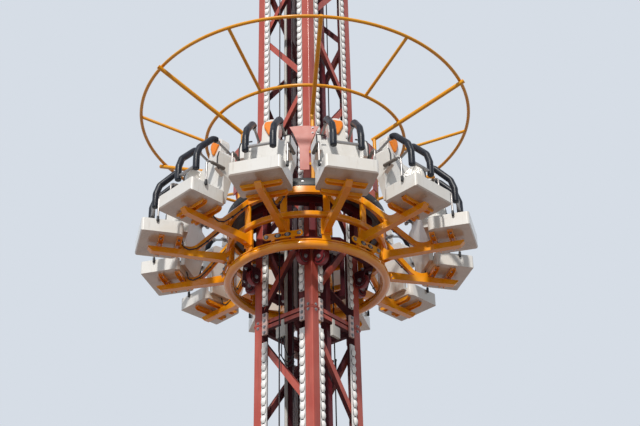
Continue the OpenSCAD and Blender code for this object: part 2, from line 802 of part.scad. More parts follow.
// Seat back: outlines from the side and from the front, with a scoop between its wings
module seat_back() difference() {
    intersection() {
        side_plate(2 * seat_w) back_side();
        rotate([90, 0, 90]) linear_extrude(seat_front_r) back_front();
    }
    side_plate(seat_w - 2 * wing_t) polygon([[back_front_r, pan_z - 20],
        [seat_front_r, pan_z - 20], [seat_front_r, shoulder_z + 90],
        [back_r(shoulder_z + 90), shoulder_z + 90]]);
}

// The seat back from the side: shell, wing, and the deeper block behind the head
module back_side() {
    rear = seat_rear_r - 0.3;
    wing_r = rear + wing_d;
    head_foot = pivot_z + lug_r + 24;
    polygon([[back_r(back_foot_z) - back_t, back_foot_z], [rear, back_foot_z],
        [rear, pan_z + 80], [back_front_r + 10, pan_z + wing_foot_h - 60],
        [wing_r - 40, pan_z + wing_foot_h], [wing_r, pan_z + wing_foot_h + 30],
        [wing_r, shoulder_z - 170], [wing_r - 34, shoulder_z - 70], [wing_r - 120, shoulder_z],
        [back_r(shoulder_z + 60), shoulder_z + 60], [back_r(back_top_z), back_top_z],
        [back_r(back_top_z) - back_t - 40, back_top_z], [back_r(head_foot) - back_t - 62, head_foot + 70],
        [back_r(head_foot) - back_t - 50, head_foot + 10], [back_r(head_foot) - back_t, head_foot]]);
}

// The seat back from the front: narrow foot, wings, shoulders and a round head
module back_front() {
    head_c = back_top_z - head_w / 2;
    foot_w = seat_w / 2 - seat_rear_round;
    wing_z = pan_z + wing_foot_h;
    translate([0, head_c]) circle(head_w / 2);
    translate([-head_w / 2, back_foot_z]) square([head_w, head_c - back_foot_z]);
    for (side = [-1, 1]) polygon([[0, back_foot_z], [side * foot_w, back_foot_z],
        [side * (foot_w + 14), pan_z + 80], [side * (seat_w / 2 - 30), wing_z - 110],
        [side * seat_w / 2, wing_z - 50],
        for (a = [0 : 22.5 : 90])
            [side * (seat_w / 2 - 80 + 80 * cos(a)), shoulder_z - 80 + 80 * sin(a)],
        [side * (head_w / 2 + 46), shoulder_z + 12], [side * head_w / 2, shoulder_z + 84],
        [0, shoulder_z + 84]]);
}

module seat_backs() color(shell_white) at_ring() each_seat() seat_back();

// A shield-shaped pad on the seat back, behind the rider's head
module head_pads() {
    low = pan_z + pad_foot_h;
    high = back_top_z - 48;
    w = head_pad_w / 2;
    color("#e07a1e") at_ring() each_seat() intersection() {
        side_plate(head_w) polygon([[back_r(low) + 0.2, low], [back_r(low) + 32, low + 20],
            [back_r(high) + 32, high - 20], [back_r(high) + 0.2, high]]);
        rotate([90, 0, 90]) linear_extrude(seat_front_r)
            polygon([[-0.16 * w, low], [0.16 * w, low], [0.46 * w, low + 0.2 * (high - low)],
                [w, high - 0.28 * (high - low)], [w, high - 0.14 * (high - low)], [0.82 * w, high],
                [-0.82 * w, high], [-w, high - 0.14 * (high - low)],
                [-w, high - 0.28 * (high - low)], [-0.46 * w, low + 0.2 * (high - low)]]);
    }
}

// Bars beside a seat, from the wing forward and down to the side of the seat base
module grab_bars() {
    up_r = seat_front_r - grab_front_in;
    rear_r = seat_rear_r + 78;
    foot_z = seat_under_z + seat_front_h - 46;
    y = seat_w / 2 + grab_off + grab_d / 2;
    color("#9a9a9c") at_ring() each_seat() for (s = [-1, 1]) {
        side_tube([[rear_r, grab_z], [up_r - 50, grab_z], [up_r, grab_z - 50], [up_r, foot_z]],
            grab_d, s * y);
        for (end = [[rear_r + grab_d, grab_z], [up_r, foot_z + grab_d]])
            rod([end[0], s * y, end[1]], [end[0], s * seat_w / 2, end[1]], 0.8 * grab_d);
    }
}

// Lugs behind each seat back that hold the restraint's pivot tube
module pivot_lugs()
    color("dimgray") at_ring() each_seat() for (s = [-1, 1])
        translate([0, s * (head_w / 2 - 30), 0]) difference() {
            side_plate(24) {
                translate([pivot_r, pivot_z]) circle(lug_r);
                polygon([[pivot_r, pivot_z - lug_r], [pivot_r, pivot_z + lug_r],
                    [back_r(pivot_z + lug_r) - back_t - 0.05, pivot_z + lug_r],
                    [back_r(pivot_z - 90) - back_t - 0.05, pivot_z - 90]]);
            }
            translate([pivot_r, 0, pivot_z]) rotate([90, 0, 0])
                cylinder(h = 30, d = tube_d + 2 * pivot_clear, center = true);
        }

// Over-the-shoulder restraint of seat k: pivot tube, bare tubes beside the head,
// two padded bars and a lap bar
module restraint(k) at_ring() rotate([0, 0, ring_turn + k * seat_step]) {
    bar_top_r = pivot_r + 281;
    lap_z = bar_end_z + 70;
    half = bar_gap / 2 + tube_d;
    color("#a0a0a2") {
        rod([pivot_r, -half, pivot_z], [pivot_r, half, pivot_z], tube_d);
        rod([bar_front_r, -bar_gap / 2, lap_z], [bar_front_r, bar_gap / 2, lap_z], tube_d);
    }
    for (s = [-1, 1]) {
        color("#a0a0a2") rod([pivot_r, s * bar_gap / 2, pivot_z],
            [bar_top_r + pad_d / 4, s * bar_gap / 2, bar_top_z], 0.84 * tube_d);
        color("#26262a") side_tube([[bar_top_r, bar_top_z], [bar_top_r + 70, bar_top_z + 2],
            [bar_front_r - 50, bar_top_z - 268], [bar_front_r, bar_top_z - 430],
            [bar_front_r, bar_end_z]], pad_d, s * bar_gap / 2);
    }
}

module restraint_01() restraint(0);
module restraint_02() restraint(1);
module restraint_03() restraint(2);
module restraint_04() restraint(3);
module restraint_05() restraint(4);
module restraint_06() restraint(5);
module restraint_07() restraint(6);
module restraint_08() restraint(7);
module restraint_09() restraint(8);
module restraint_10() restraint(9);
module restraint_11() restraint(10);
module restraint_12() restraint(11);

base_plate();
base_legs();
base_beams();
corner_columns();
bracing_front();
bracing_right();
bracing_back();
bracing_left();
light_strips();
joint_blocks();
guide_posts();
conduit();
junction_boxes();
head_frame();
head_sheaves();
base_sheaves();
hoist_ropes();
carriage_lower_frame();
carriage_upper_frame();
carriage_posts();
wheel_forks();
guide_wheels();
rope_clamps();
slewing_ring_fixed();
slewing_ring_turning();
bottom_ring();
middle_ring();
top_ring();
ring_posts();
seat_arms();
arm_struts();
seat_cross_beams();
splice_plates();
crown_posts();
crown_panels();
crown_inner_ring();
crown_outer_ring();
crown_long_spokes();
crown_short_spokes();
seat_bases();
seat_backs();
head_pads();
grab_bars();
pivot_lugs();
restraint_01();
restraint_02();
restraint_03();
restraint_04();
restraint_05();
restraint_06();
restraint_07();
restraint_08();
restraint_09();
restraint_10();
restraint_11();
restraint_12();
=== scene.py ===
"""Visual model of a drop tower ride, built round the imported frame.

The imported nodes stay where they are. Each assembly below is one part of the
ride: it holds its sizes, makes the pieces that stand for its nodes, adds the
small parts that the nodes leave out, and gives every surface its finish.
Fields hold lengths in metres and angles in degrees.
"""

import json
import logging
from dataclasses import dataclass
from enum import Enum
from functools import cache
from math import cos, radians, sin, tan, tau
from typing import Any, Iterable, Sequence

import bmesh
import bpy
from mathutils import Matrix, Vector

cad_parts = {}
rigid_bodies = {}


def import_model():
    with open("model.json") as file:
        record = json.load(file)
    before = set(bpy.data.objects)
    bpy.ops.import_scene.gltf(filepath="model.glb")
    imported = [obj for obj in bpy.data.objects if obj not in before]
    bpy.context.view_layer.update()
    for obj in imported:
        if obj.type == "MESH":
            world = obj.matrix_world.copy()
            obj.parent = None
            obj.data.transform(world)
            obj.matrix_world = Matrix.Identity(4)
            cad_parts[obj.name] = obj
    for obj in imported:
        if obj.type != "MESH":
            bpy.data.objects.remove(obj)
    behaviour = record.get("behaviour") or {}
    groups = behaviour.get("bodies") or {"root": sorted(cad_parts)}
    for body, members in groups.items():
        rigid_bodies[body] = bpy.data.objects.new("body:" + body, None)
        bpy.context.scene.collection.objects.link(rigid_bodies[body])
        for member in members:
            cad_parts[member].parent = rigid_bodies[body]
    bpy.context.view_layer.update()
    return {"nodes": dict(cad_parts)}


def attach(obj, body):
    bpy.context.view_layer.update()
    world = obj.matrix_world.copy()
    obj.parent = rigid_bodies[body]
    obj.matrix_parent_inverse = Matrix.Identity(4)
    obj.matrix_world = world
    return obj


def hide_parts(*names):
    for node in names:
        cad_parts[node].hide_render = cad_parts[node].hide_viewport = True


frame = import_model()
logging.basicConfig(level=logging.INFO, format="%(message)s")
LOG = logging.getLogger("ride")

BMesh, BMVert, BMEdge = bmesh.types.BMesh, bmesh.types.BMVert, bmesh.types.BMEdge
Material, Mesh, Object = bpy.types.Material, bpy.types.Mesh, bpy.types.Object
Point = tuple[float, float, float]
Pair = tuple[float, float]
Colour = tuple[float, float, float]

SIDES = (-1, 1)
OUTWARD, FORWARD, DOWNWARD = (1, 0, 0), (0, -1, 0), (0, 0, -1)
EVEN = (1.0, 1.0, 1.0)
# Sockets of a Mix node that mixes colours.
MIX_FACTOR, MIX_FIRST, MIX_SECOND, MIX_RESULT = 0, 6, 7, 2
# Points of a node's copy, and of a spun shape, that are closer than this are one.
MERGE, SPIN_MERGE = 0.00005, 0.00002
# Edges that turn more than this stay sharp: on flat shapes, round shapes and soft shapes.
SHARP_DEG, ROUND_DEG, SOFT_DEG = 35.0, 50.0, 60.0
CLOTH_FRAMES = 20


class Body(Enum):
    """Bodies of the frame that pieces ride on."""

    TOWER = "tower"
    CARRIAGE = "carriage"
    RING = "seat_ring"


class Term:
    """A shader socket that takes part in Python expressions."""

    def __init__(self, nodes: "Nodes", socket: Any) -> None:
        """Wraps a socket of a node tree."""
        self.nodes = nodes
        self.socket = socket

    def compute(self, operation: str, *values: Any) -> "Term":
        """Adds a Math node and returns its result."""
        return self.nodes.node("ShaderNodeMath", dict(enumerate(values)), operation=operation)

    def __add__(self, other: Any) -> "Term":
        """Sum."""
        return self.compute("ADD", self, other)

    def __rsub__(self, other: Any) -> "Term":
        """Difference from a number."""
        return self.compute("SUBTRACT", other, self)

    def __mul__(self, other: Any) -> "Term":
        """Product."""
        return self.compute("MULTIPLY", self, other)

    def clamped(self) -> "Term":
        """The value held between 0 and 1."""
        return self.nodes.node("ShaderNodeClamp", {0: self})

    def above(self, low: float, high: float) -> "Term":
        """A mask that rises from 0 at low to 1 at high."""
        inputs = {0: self, 1: low, 2: high}
        return self.nodes.node("ShaderNodeMapRange", inputs, interpolation_type="SMOOTHSTEP")


class Nodes:
    """A node tree that expressions fill."""

    def __init__(self, tree: bpy.types.NodeTree) -> None:
        """Empties a tree."""
        self.tree = tree
        tree.nodes.clear()

    def give(self, socket: Any, value: Any) -> None:
        """Links a term to a socket, or sets the socket to a number, vector or colour.

        Args:
            socket: Input that receives it.
            value: Term, number, vector or colour.
        """
        if isinstance(value, Term):
            self.tree.links.new(value.socket, socket)
        elif socket.type == "RGBA":
            socket.default_value = (*value, 1.0)
        else:
            socket.default_value = value

    def node(self, kind: str, inputs: dict[Any, Any], out: int | str = 0,
             **settings: Any) -> Term:
        """Adds a node.

        Args:
            kind: The node's type name.
            inputs: Values or terms by socket name or number.
            out: Name or number of the output that is returned.
            settings: Attributes, set before the inputs.

        Returns:
            The chosen output.
        """
        made = self.tree.nodes.new(kind)
        for key, value in settings.items():
            setattr(made, key, value)
        for key, value in inputs.items():
            self.give(made.inputs[key], value)
        return Term(self, made.outputs[out])

    def end(self, kind: str, shader: Term) -> None:
        """Adds an output node and leads a shader to it."""
        self.tree.links.new(shader.socket, self.tree.nodes.new(kind).inputs[0])


class Graph(Nodes):
    """Node tree of one material, round a Principled shader."""

    def __init__(self, name: str) -> None:
        """Starts a material.

        Args:
            name: Name of the material.
        """
        self.material = bpy.data.materials.new(name)
        self.material.use_nodes = True
        super().__init__(self.material.node_tree)
        self.shader = self.tree.nodes.new("ShaderNodeBsdfPrincipled")
        self.end("ShaderNodeOutputMaterial", Term(self, self.shader.outputs[0]))
        self.place = self.node("ShaderNodeTexCoord", {}, "Object")

    def stretched(self, scale: Point = EVEN) -> Term:
        """Object coordinates scaled per axis."""
        return self.node("ShaderNodeMapping", {"Vector": self.place, "Scale": scale})

    def noise(self, scale: float, detail: float = 4.0, stretch: Point = EVEN,
              rough: float = 0.5) -> Term:
        """Noise on the piece's own coordinates.

        Args:
            scale: Waves to a metre.
            detail: How many finer layers it has.
            stretch: Scale of each axis.
            rough: How strong the finer layers are.

        Returns:
            A value of 0 to 1.
        """
        return self.node("ShaderNodeTexNoise", {
            "Vector": self.stretched(stretch), "Scale": scale, "Detail": detail,
            "Roughness": rough})

    def cells(self, scale: float) -> Term:
        """Distance to the nearest of scattered points."""
        return self.node("ShaderNodeTexVoronoi", {"Vector": self.stretched(), "Scale": scale})

    def normal(self) -> Term:
        """Direction that the surface faces."""
        return self.node("ShaderNodeNewGeometry", {}, "Normal")

    def facing_up(self) -> Term:
        """How much a surface faces up, -1 to 1."""
        return self.node("ShaderNodeSeparateXYZ", {0: self.normal()}, "Z")

    def facing_out(self) -> Term:
        """How far a surface faces away from the height axis.

        Returns:
            Metres from the axis times the share of the normal that points outward.
        """
        flat = self.stretched((1.0, 1.0, 0.0))
        return self.node("ShaderNodeVectorMath", {0: flat, 1: self.normal()}, "Value",
                         operation="DOT_PRODUCT")

    def mixed(self, factor: Any, first: Any, second: Any) -> Term:
        """Two colours mixed by a factor."""
        inputs = {MIX_FACTOR: factor, MIX_FIRST: first, MIX_SECOND: second}
        return self.node("ShaderNodeMix", inputs, MIX_RESULT, data_type="RGBA")

    def bump(self, height: Term, strength: float, distance: float) -> Term:
        """A normal tilted by a height."""
        return self.node("ShaderNodeBump", {
            "Height": height, "Strength": strength, "Distance": distance})


def srgb(red: int, green: int, blue: int) -> Colour:
    """A screen colour as linear values.

    Args:
        red: Red, 0 to 255.
        green: Green, 0 to 255.
        blue: Blue, 0 to 255.

    Returns:
        The linear colour.
    """
    def linear(value: int) -> float:
        """One channel."""
        share = value / 255.0
        return share / 12.92 if share <= 0.04045 else ((share + 0.055) / 1.055) ** 2.4
    return (linear(red), linear(green), linear(blue))


def dimmed(colour: Colour, share: float) -> Colour:
    """A colour times a share, held under 1."""
    return tuple(min(1.0, share * channel) for channel in colour)


@dataclass(frozen=True)
class Finish:
    """A surface of one main colour."""

    name: str
    colour: Colour

    def build(self) -> Material:
        """Makes the material.

        Returns:
            The material, whose shader has this finish's inputs.
        """
        graph = Graph(self.name)
        for socket, value in self.inputs(graph).items():
            graph.give(graph.shader.inputs[socket], value)
        return graph.material

    def inputs(self, g: Graph) -> dict[str, Any]:
        """Values and terms of the shader's inputs."""
        raise NotImplementedError


@dataclass(frozen=True)
class Paint(Finish):
    """Gloss paint on steel: faded patches, streaks, chips, dust and painted shade underneath,
    painted shade inward.
    """

    faded: Colour
    grime_and_shade: Colour = srgb(52, 34, 30)
    rust: Colour = srgb(96, 52, 34)
    # Colour of the undersides: dust and painted shade.
    under: Colour = srgb(96, 66, 54)
    rough: float = 0.34
    chips: float = 0.72
    dirt: float = 0.45
    dust_and_shade: float = 0.25
    # Share of painted shade on faces that look in towards the axis.
    inner_shade: float = 0.0
    coat: float = 0.12
    shine: float = 0.3
    uneven: float = 0.12

    def inputs(self, g: Graph) -> dict[str, Any]:
        """Inputs of paint, with painted shade and a duller gloss on faces that look inward, and
        dust and painted shade underneath.

        Args:
            g: Node tree of the material.

        Returns:
            Values and terms by the shader's input names.
        """
        patches = g.noise(1.7, 5.0).above(0.38, 0.68)
        streaks = g.noise(16.0, 3.0, (1.0, 1.0, 0.08)).above(0.52, 0.8)
        specks = g.noise(120.0, 2.0).above(self.chips, self.chips + 0.05)
        # Faces that look down are mixed towards the underside colour: dust, and painted shade of
        # the undersides.
        low = 1.0 - g.facing_up().above(-0.95, -0.2)
        soiled = (streaks * self.dirt * 0.7).clamped()
        tone = g.mixed(patches * 0.65, self.colour, self.faded)
        tone = g.mixed(low * self.dust_and_shade, tone, self.under)
        tone = g.mixed(soiled, tone, self.grime_and_shade)
        gloss = g.noise(9.0) * 0.22 + soiled * 0.25 + specks * 0.3 + (self.rough - 0.1)
        coat: Any = self.coat
        # Painted shade: faces that look in towards the axis take the grime colour, a little
        # unevenly, and lose their gloss.
        if self.inner_shade:
            inner = 1.0 - g.facing_out().above(-0.05, 0.3)
            painted_inner_shade = (inner * self.inner_shade + g.noise(3.0, 3.0) * inner * 0.2).clamped()
            tone = g.mixed(painted_inner_shade, tone, self.grime_and_shade)
            gloss = gloss + inner * 0.45
            coat = (inner * -self.coat + self.coat).clamped()
        height = g.noise(70.0, 3.0) * 0.6 + specks * -0.8
        return {
            "Base Color": g.mixed(specks, tone, self.rust), "Roughness": gloss.clamped(),
            "Coat Weight": coat, "Coat Roughness": 0.12, "Specular IOR Level": self.shine,
            "Normal": g.bump(height, self.uneven, 0.002)}


@dataclass(frozen=True)
class Steel(Finish):
    """Bare or galvanised steel with a mottled sheen."""

    rough: float = 0.42
    grain: float = 40.0

    def inputs(self, g: Graph) -> dict[str, Any]:
        """Inputs of mottled metal.

        Args:
            g: Node tree of the material.

        Returns:
            Values and terms by the shader's input names.
        """
        spangle = g.cells(self.grain).above(0.1, 0.7)
        worn = g.noise(6.0, 4.0).above(0.45, 0.7)
        tone = g.mixed(spangle * 0.35, self.colour, dimmed(self.colour, 1.25))
        gloss = worn * 0.2 + g.noise(90.0, 2.0) * 0.1 + (self.rough - 0.08)
        return {
            "Base Color": g.mixed(worn * 0.5, tone, dimmed(self.colour, 0.55)),
            "Metallic": 0.85, "Roughness": gloss.clamped(),
            "Normal": g.bump(g.noise(160.0, 2.0), 0.08, 0.001)}


@dataclass(frozen=True)
class Rope(Finish):
    """Greased wire rope whose strands wind along the height."""

    pitch: float = 0.05

    def inputs(self, g: Graph) -> dict[str, Any]:
        """Inputs of metal strands with dark grease between them.

        Args:
            g: Node tree of the material.

        Returns:
            Values and terms by the shader's input names.
        """
        inputs = {"Vector": g.stretched(), "Scale": 1.0 / self.pitch}
        strand = g.node("ShaderNodeTexWave", inputs, "Fac",
                        wave_type="BANDS", bands_direction="DIAGONAL")
        greased = dimmed(self.colour, 0.35)
        return {
            "Base Color": g.mixed(strand.above(0.2, 0.8), greased, self.colour),
            "Metallic": 0.7, "Roughness": strand * -0.2 + 0.5,
            "Normal": g.bump(strand, 0.5, 0.003)}


@dataclass(frozen=True)
class GelCoat(Finish):
    """Glossy fibreglass with scuffs, rain marks and yellowed patches."""

    aged: Colour
    # Beige of the undersides: painted shade.
    under: Colour = srgb(186, 156, 138)
    grime_and_shade: Colour = srgb(120, 98, 82)
    rough: float = 0.24

    def inputs(self, g: Graph) -> dict[str, Any]:
        """Inputs of a clear-coated shell, with painted shade on its underside.

        Args:
            g: Node tree of the material.

        Returns:
            Values and terms by the shader's input names.
        """
        patches = g.noise(2.4, 5.0).above(0.42, 0.72)
        runs = g.noise(34.0, 3.0, (1.0, 1.0, 0.09)).above(0.58, 0.82)
        scuffs = g.noise(18.0, 6.0, (1.0, 1.0, 3.0), 0.7).above(0.64, 0.74)
        # Faces that look down take the beige underside colour as painted shade, and darker
        # patches of the grime colour.
        low = 1.0 - g.facing_up().above(-0.9, -0.25)
        underside_patches = low * g.noise(5.0, 4.0).above(0.42, 0.75)
        soiled = (runs * 0.28 + scuffs * 0.22 + underside_patches * 0.35).clamped()
        tone = g.mixed(patches * 0.6, self.colour, self.aged)
        tone = g.mixed(low * 0.85, tone, self.under)
        return {
            "Base Color": g.mixed(soiled, tone, self.grime_and_shade),
            "Roughness": (scuffs * 0.3 + soiled * 0.2 + self.rough).clamped(),
            "Coat Weight": 0.4, "Coat Roughness": 0.1,
            "Normal": g.bump(g.noise(14.0, 3.0) + scuffs * 0.15, 0.1, 0.004)}


@dataclass(frozen=True)
class Vinyl(Finish):
    """Padded vinyl cover with a fine grain and worn highlights."""

    worn: Colour
    rough: float = 0.42

    def inputs(self, g: Graph) -> dict[str, Any]:
        """Inputs of grained vinyl, paler where it is rubbed.

        Args:
            g: Node tree of the material.

        Returns:
            Values and terms by the shader's input names.
        """
        grain = g.cells(420.0)
        rubbed = g.noise(7.0, 5.0).above(0.5, 0.72)
        gloss = grain * 0.18 + rubbed * 0.15 + (self.rough - 0.1)
        return {
            "Base Color": g.mixed(rubbed * 0.6 + grain * 0.15, self.colour, self.worn),
            "Roughness": gloss.clamped(), "Specular IOR Level": 0.3,
            "Normal": g.bump(grain + g.noise(30.0, 3.0) * 0.8, 0.25, 0.0015)}


@dataclass(frozen=True)
class Plastic(Finish):
    """Moulded plastic or rubber with a fine tooth."""

    rough: float = 0.5

    def inputs(self, g: Graph) -> dict[str, Any]:
        """Inputs of plain plastic with uneven tone.

        Args:
            g: Node tree of the material.

        Returns:
            Values and terms by the shader's input names.
        """
        patches = g.noise(11.0, 4.0).above(0.4, 0.7)
        gloss = g.noise(60.0, 2.0) * 0.2 + (self.rough - 0.1)
        return {
            "Base Color": g.mixed(patches * 0.4, self.colour, dimmed(self.colour, 0.72)),
            "Roughness": gloss.clamped(), "Normal": g.bump(g.noise(240.0, 2.0), 0.1, 0.001)}


def rays(nodes: Nodes) -> list[Term]:
    """Whether a ray comes from the camera, and whether it comes from a reflection."""
    names = ("Is Camera Ray", "Is Glossy Ray")
    return [nodes.node("ShaderNodeLightPath", {}, name) for name in names]


@dataclass(frozen=True)
class Backdrop(Finish):
    """Pale floor that the camera sees as a plain near-white."""

    dim: Colour = srgb(150, 140, 128)

    def inputs(self, g: Graph) -> dict[str, Any]:
        """Inputs of the floor, which is dimmer where it only throws light back.

        Args:
            g: Node tree of the material.

        Returns:
            Values and terms by the shader's input names.
        """
        camera, glossy = rays(g)
        tone = g.mixed((camera + glossy).clamped(), self.dim, self.colour)
        return {"Base Color": tone, "Roughness": 0.9}


FINISHES = {finish.name: finish for finish in (
    # Tower and deep red paints: their grime colour is also painted shade on faces that look in
    # towards the axis.
    Paint("tower_paint", srgb(174, 76, 64), srgb(188, 98, 84), grime_and_shade=srgb(52, 22, 32),
          rough=0.3, inner_shade=0.78, coat=0.14, shine=0.25),
    Paint("deep_red_paint", srgb(98, 34, 42), srgb(120, 50, 54), grime_and_shade=srgb(44, 16, 26),
          inner_shade=0.6, shine=0.15),
    # Ring and crown paints: their underside colours are dust and painted shade.
    Paint("ring_paint", srgb(240, 150, 12), srgb(246, 174, 30), grime_and_shade=srgb(128, 64, 8),
          under=srgb(212, 108, 26), rough=0.18, chips=0.79, dirt=0.16, dust_and_shade=0.45, coat=0.4),
    Paint("crown_paint", srgb(226, 150, 16), srgb(236, 168, 34), grime_and_shade=srgb(170, 100, 14),
          under=srgb(190, 110, 24), rough=0.3, chips=0.95, dirt=0.0, dust_and_shade=0.3, coat=0.05,
          uneven=0.03),
    Paint("salmon_paint", srgb(174, 80, 66), srgb(186, 98, 82), grime_and_shade=srgb(130, 64, 54),
          dirt=0.25),
    Paint("pale_pink_paint", srgb(222, 190, 182), srgb(234, 212, 206),
          grime_and_shade=srgb(150, 104, 96)),
    Paint("white_strip", srgb(226, 226, 226), srgb(240, 240, 238), grime_and_shade=srgb(150, 146, 142),
          dirt=0.3),
    Paint("black_steel", srgb(34, 34, 38), srgb(50, 50, 54), grime_and_shade=srgb(20, 18, 18),
          chips=0.78),
    Plastic("grey_box", srgb(196, 194, 188), 0.55),
    Steel("galvanised", srgb(150, 150, 152)),
    Steel("grey_tube", srgb(148, 144, 142), 0.36, 90.0),
    # Greased rope, made darker still as painted shade of the tower's inside.
    Rope("steel_rope", srgb(60, 52, 54)),
    Plastic("wheel_tread", srgb(120, 34, 40), 0.46),
    GelCoat("white_shell", srgb(226, 224, 220), srgb(218, 211, 200)),
    Vinyl("orange_pad", srgb(236, 128, 26), srgb(244, 154, 58)),
    Vinyl("black_pad", srgb(20, 24, 34), srgb(46, 50, 62), 0.34),
    # Grey of the rims under the lamps: painted shadow.
    Plastic("lamp_rubber", srgb(104, 98, 102), 0.7),
    Plastic("lamp_dome", srgb(246, 246, 244), 0.3),
    Plastic("grip_foam", srgb(108, 100, 94), 0.8),
    Plastic("hose_rubber", srgb(24, 24, 26)),
)}


@cache
def finish_of(name: str) -> Material:
    """The material of a finish, made on first use."""
    return FINISHES[name].build()


def put(piece: Object, body: str, finish: str, nodes: Sequence[str] = ()) -> Object:
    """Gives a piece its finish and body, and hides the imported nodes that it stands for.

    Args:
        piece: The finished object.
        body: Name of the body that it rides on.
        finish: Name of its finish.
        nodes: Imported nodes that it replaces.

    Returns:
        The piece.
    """
    piece.data.materials.clear()
    piece.data.materials.append(finish_of(finish))
    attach(piece, body)
    if nodes:
        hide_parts(*nodes)
    return piece


def piece_from(name: str, bm: BMesh, sharp_deg: float = SHARP_DEG) -> Object:
    """Turns a bmesh into a linked object with smooth shading between sharp edges.

    Args:
        name: Piece name.
        bm: The mesh, which is freed.
        sharp_deg: Edges that turn more than this stay sharp.

    Returns:
        The object, at the origin.
    """
    mesh = bpy.data.meshes.new(name)
    limit = radians(sharp_deg)
    for face in bm.faces:
        face.smooth = True
    for edge in bm.edges:
        edge.smooth = len(edge.link_faces) == 2 and edge.calc_face_angle(0.0) < limit
    bm.to_mesh(mesh)
    bm.free()
    piece = bpy.data.objects.new(name, mesh)
    bpy.context.scene.collection.objects.link(piece)
    return piece


def flat_faced(piece: Object) -> Object:
    """Keeps the shading of large faces flat up to their rounded edges.

    Args:
        piece: A piece with rounded edges.

    Returns:
        The piece.
    """
    flat = piece.modifiers.new("flat_faces", "WEIGHTED_NORMAL")
    flat.keep_sharp = True
    return piece


def bevelled(bm: BMesh, width: float, segments: int = 2, turn: float = 30.0) -> None:
    """Rounds the edges of a bmesh that turn more than an angle.

    Args:
        bm: The mesh.
        width: Offset of the new edges.
        segments: Faces across each rounded edge.
        turn: The angle in degrees.
    """
    edges = [e for e in bm.edges
             if len(e.link_faces) == 2 and e.calc_face_angle(0.0) > radians(turn)]
    bmesh.ops.bevel(bm, geom=edges, offset=width, offset_type="OFFSET", affect="EDGES",
                    segments=segments, profile=0.5, material=-1, clamp_overlap=True,
                    loop_slide=True)


def moved(x: float, y: float, z: float) -> Matrix:
    """A shift."""
    return Matrix.Translation((x, y, z))


def scaled(x: float, y: float, z: float) -> Matrix:
    """A stretch along each axis."""
    return Matrix.Diagonal((x, y, z, 1.0))


def pointing(place: Point, towards: Point) -> Matrix:
    """A matrix at a place whose local Z points towards a direction."""
    turn = Vector(towards).to_track_quat("Z", "Y").to_matrix().to_4x4()
    return Matrix.Translation(place) @ turn


def around(count: int, first_deg: float = 0.0) -> Iterable[Matrix]:
    """Turns about the tower's axis, count to the full circle, from a first angle."""
    for k in range(count):
        yield Matrix.Rotation(radians(first_deg) + tau * k / count, 4, "Z")


def disc(bm: BMesh, place: Matrix, low: float, high: float, depth: float, sides: int) -> None:
    """Adds a capped cone or cylinder.

    Args:
        bm: Mesh that receives it.
        place: Its middle, with local Z along its axis.
        low: Radius at the lower end.
        high: Radius at the upper end.
        depth: Length along the axis.
        sides: Faces round it.
    """
    bmesh.ops.create_cone(bm, cap_ends=True, segments=sides, radius1=low, radius2=high,
                          depth=depth, matrix=place)


def bolt_head(bm: BMesh, place: Matrix, size: float) -> None:
    """Adds a washer and a hexagon head.

    Args:
        bm: Mesh that receives them.
        place: Foot of the washer, with local Z along the bolt.
        size: Length that both are made to, about the washer's radius.
    """
    for middle, low, high, depth, sides in ((0.11, 0.95, 0.92, 0.22, 12),
                                            (0.5, 0.62, 0.56, 0.6, 6)):
        disc(bm, place @ moved(0, 0, size * middle), size * low, size * high, size * depth,
             sides)


def block(bm: BMesh, place: Matrix, x: float, y: float, z: float) -> None:
    """Adds a box of a size round a place."""
    bmesh.ops.create_cube(bm, size=1.0, matrix=place @ scaled(x, y, z))


def only(geometry: Iterable[Any], kind: type) -> list[Any]:
    """The elements of one kind."""
    return [element for element in geometry if isinstance(element, kind)]


def turned(profile: Sequence[Pair], steps: int, closed: bool = True) -> BMesh:
    """A profile of radius and height spun once round the height axis.

    Args:
        profile: Points of the outline.
        steps: Faces round the turn.
        closed: Whether the outline closes on itself.

    Returns:
        The spun mesh, with its faces outward.
    """
    bm = bmesh.new()
    points = [bm.verts.new((r, 0.0, z)) for r, z in profile]
    edges = [bm.edges.new(pair) for pair in zip(points, points[1:])]
    if closed:
        edges.append(bm.edges.new((points[-1], points[0])))
    bmesh.ops.spin(bm, geom=points + edges, cent=(0, 0, 0), axis=(0, 0, 1), dvec=(0, 0, 0),
                   angle=tau, steps=steps, use_merge=True, use_duplicate=False)
    bmesh.ops.remove_doubles(bm, verts=bm.verts, dist=SPIN_MERGE)
    bmesh.ops.recalc_face_normals(bm, faces=bm.faces)
    return bm


def circle(r: float, z: float, radius: float, count: int) -> list[Pair]:
    """Points round a tube's section at radius r and height z."""
    angles = [tau * i / count for i in range(count)]
    return [(r + radius * cos(a), z + radius * sin(a)) for a in angles]


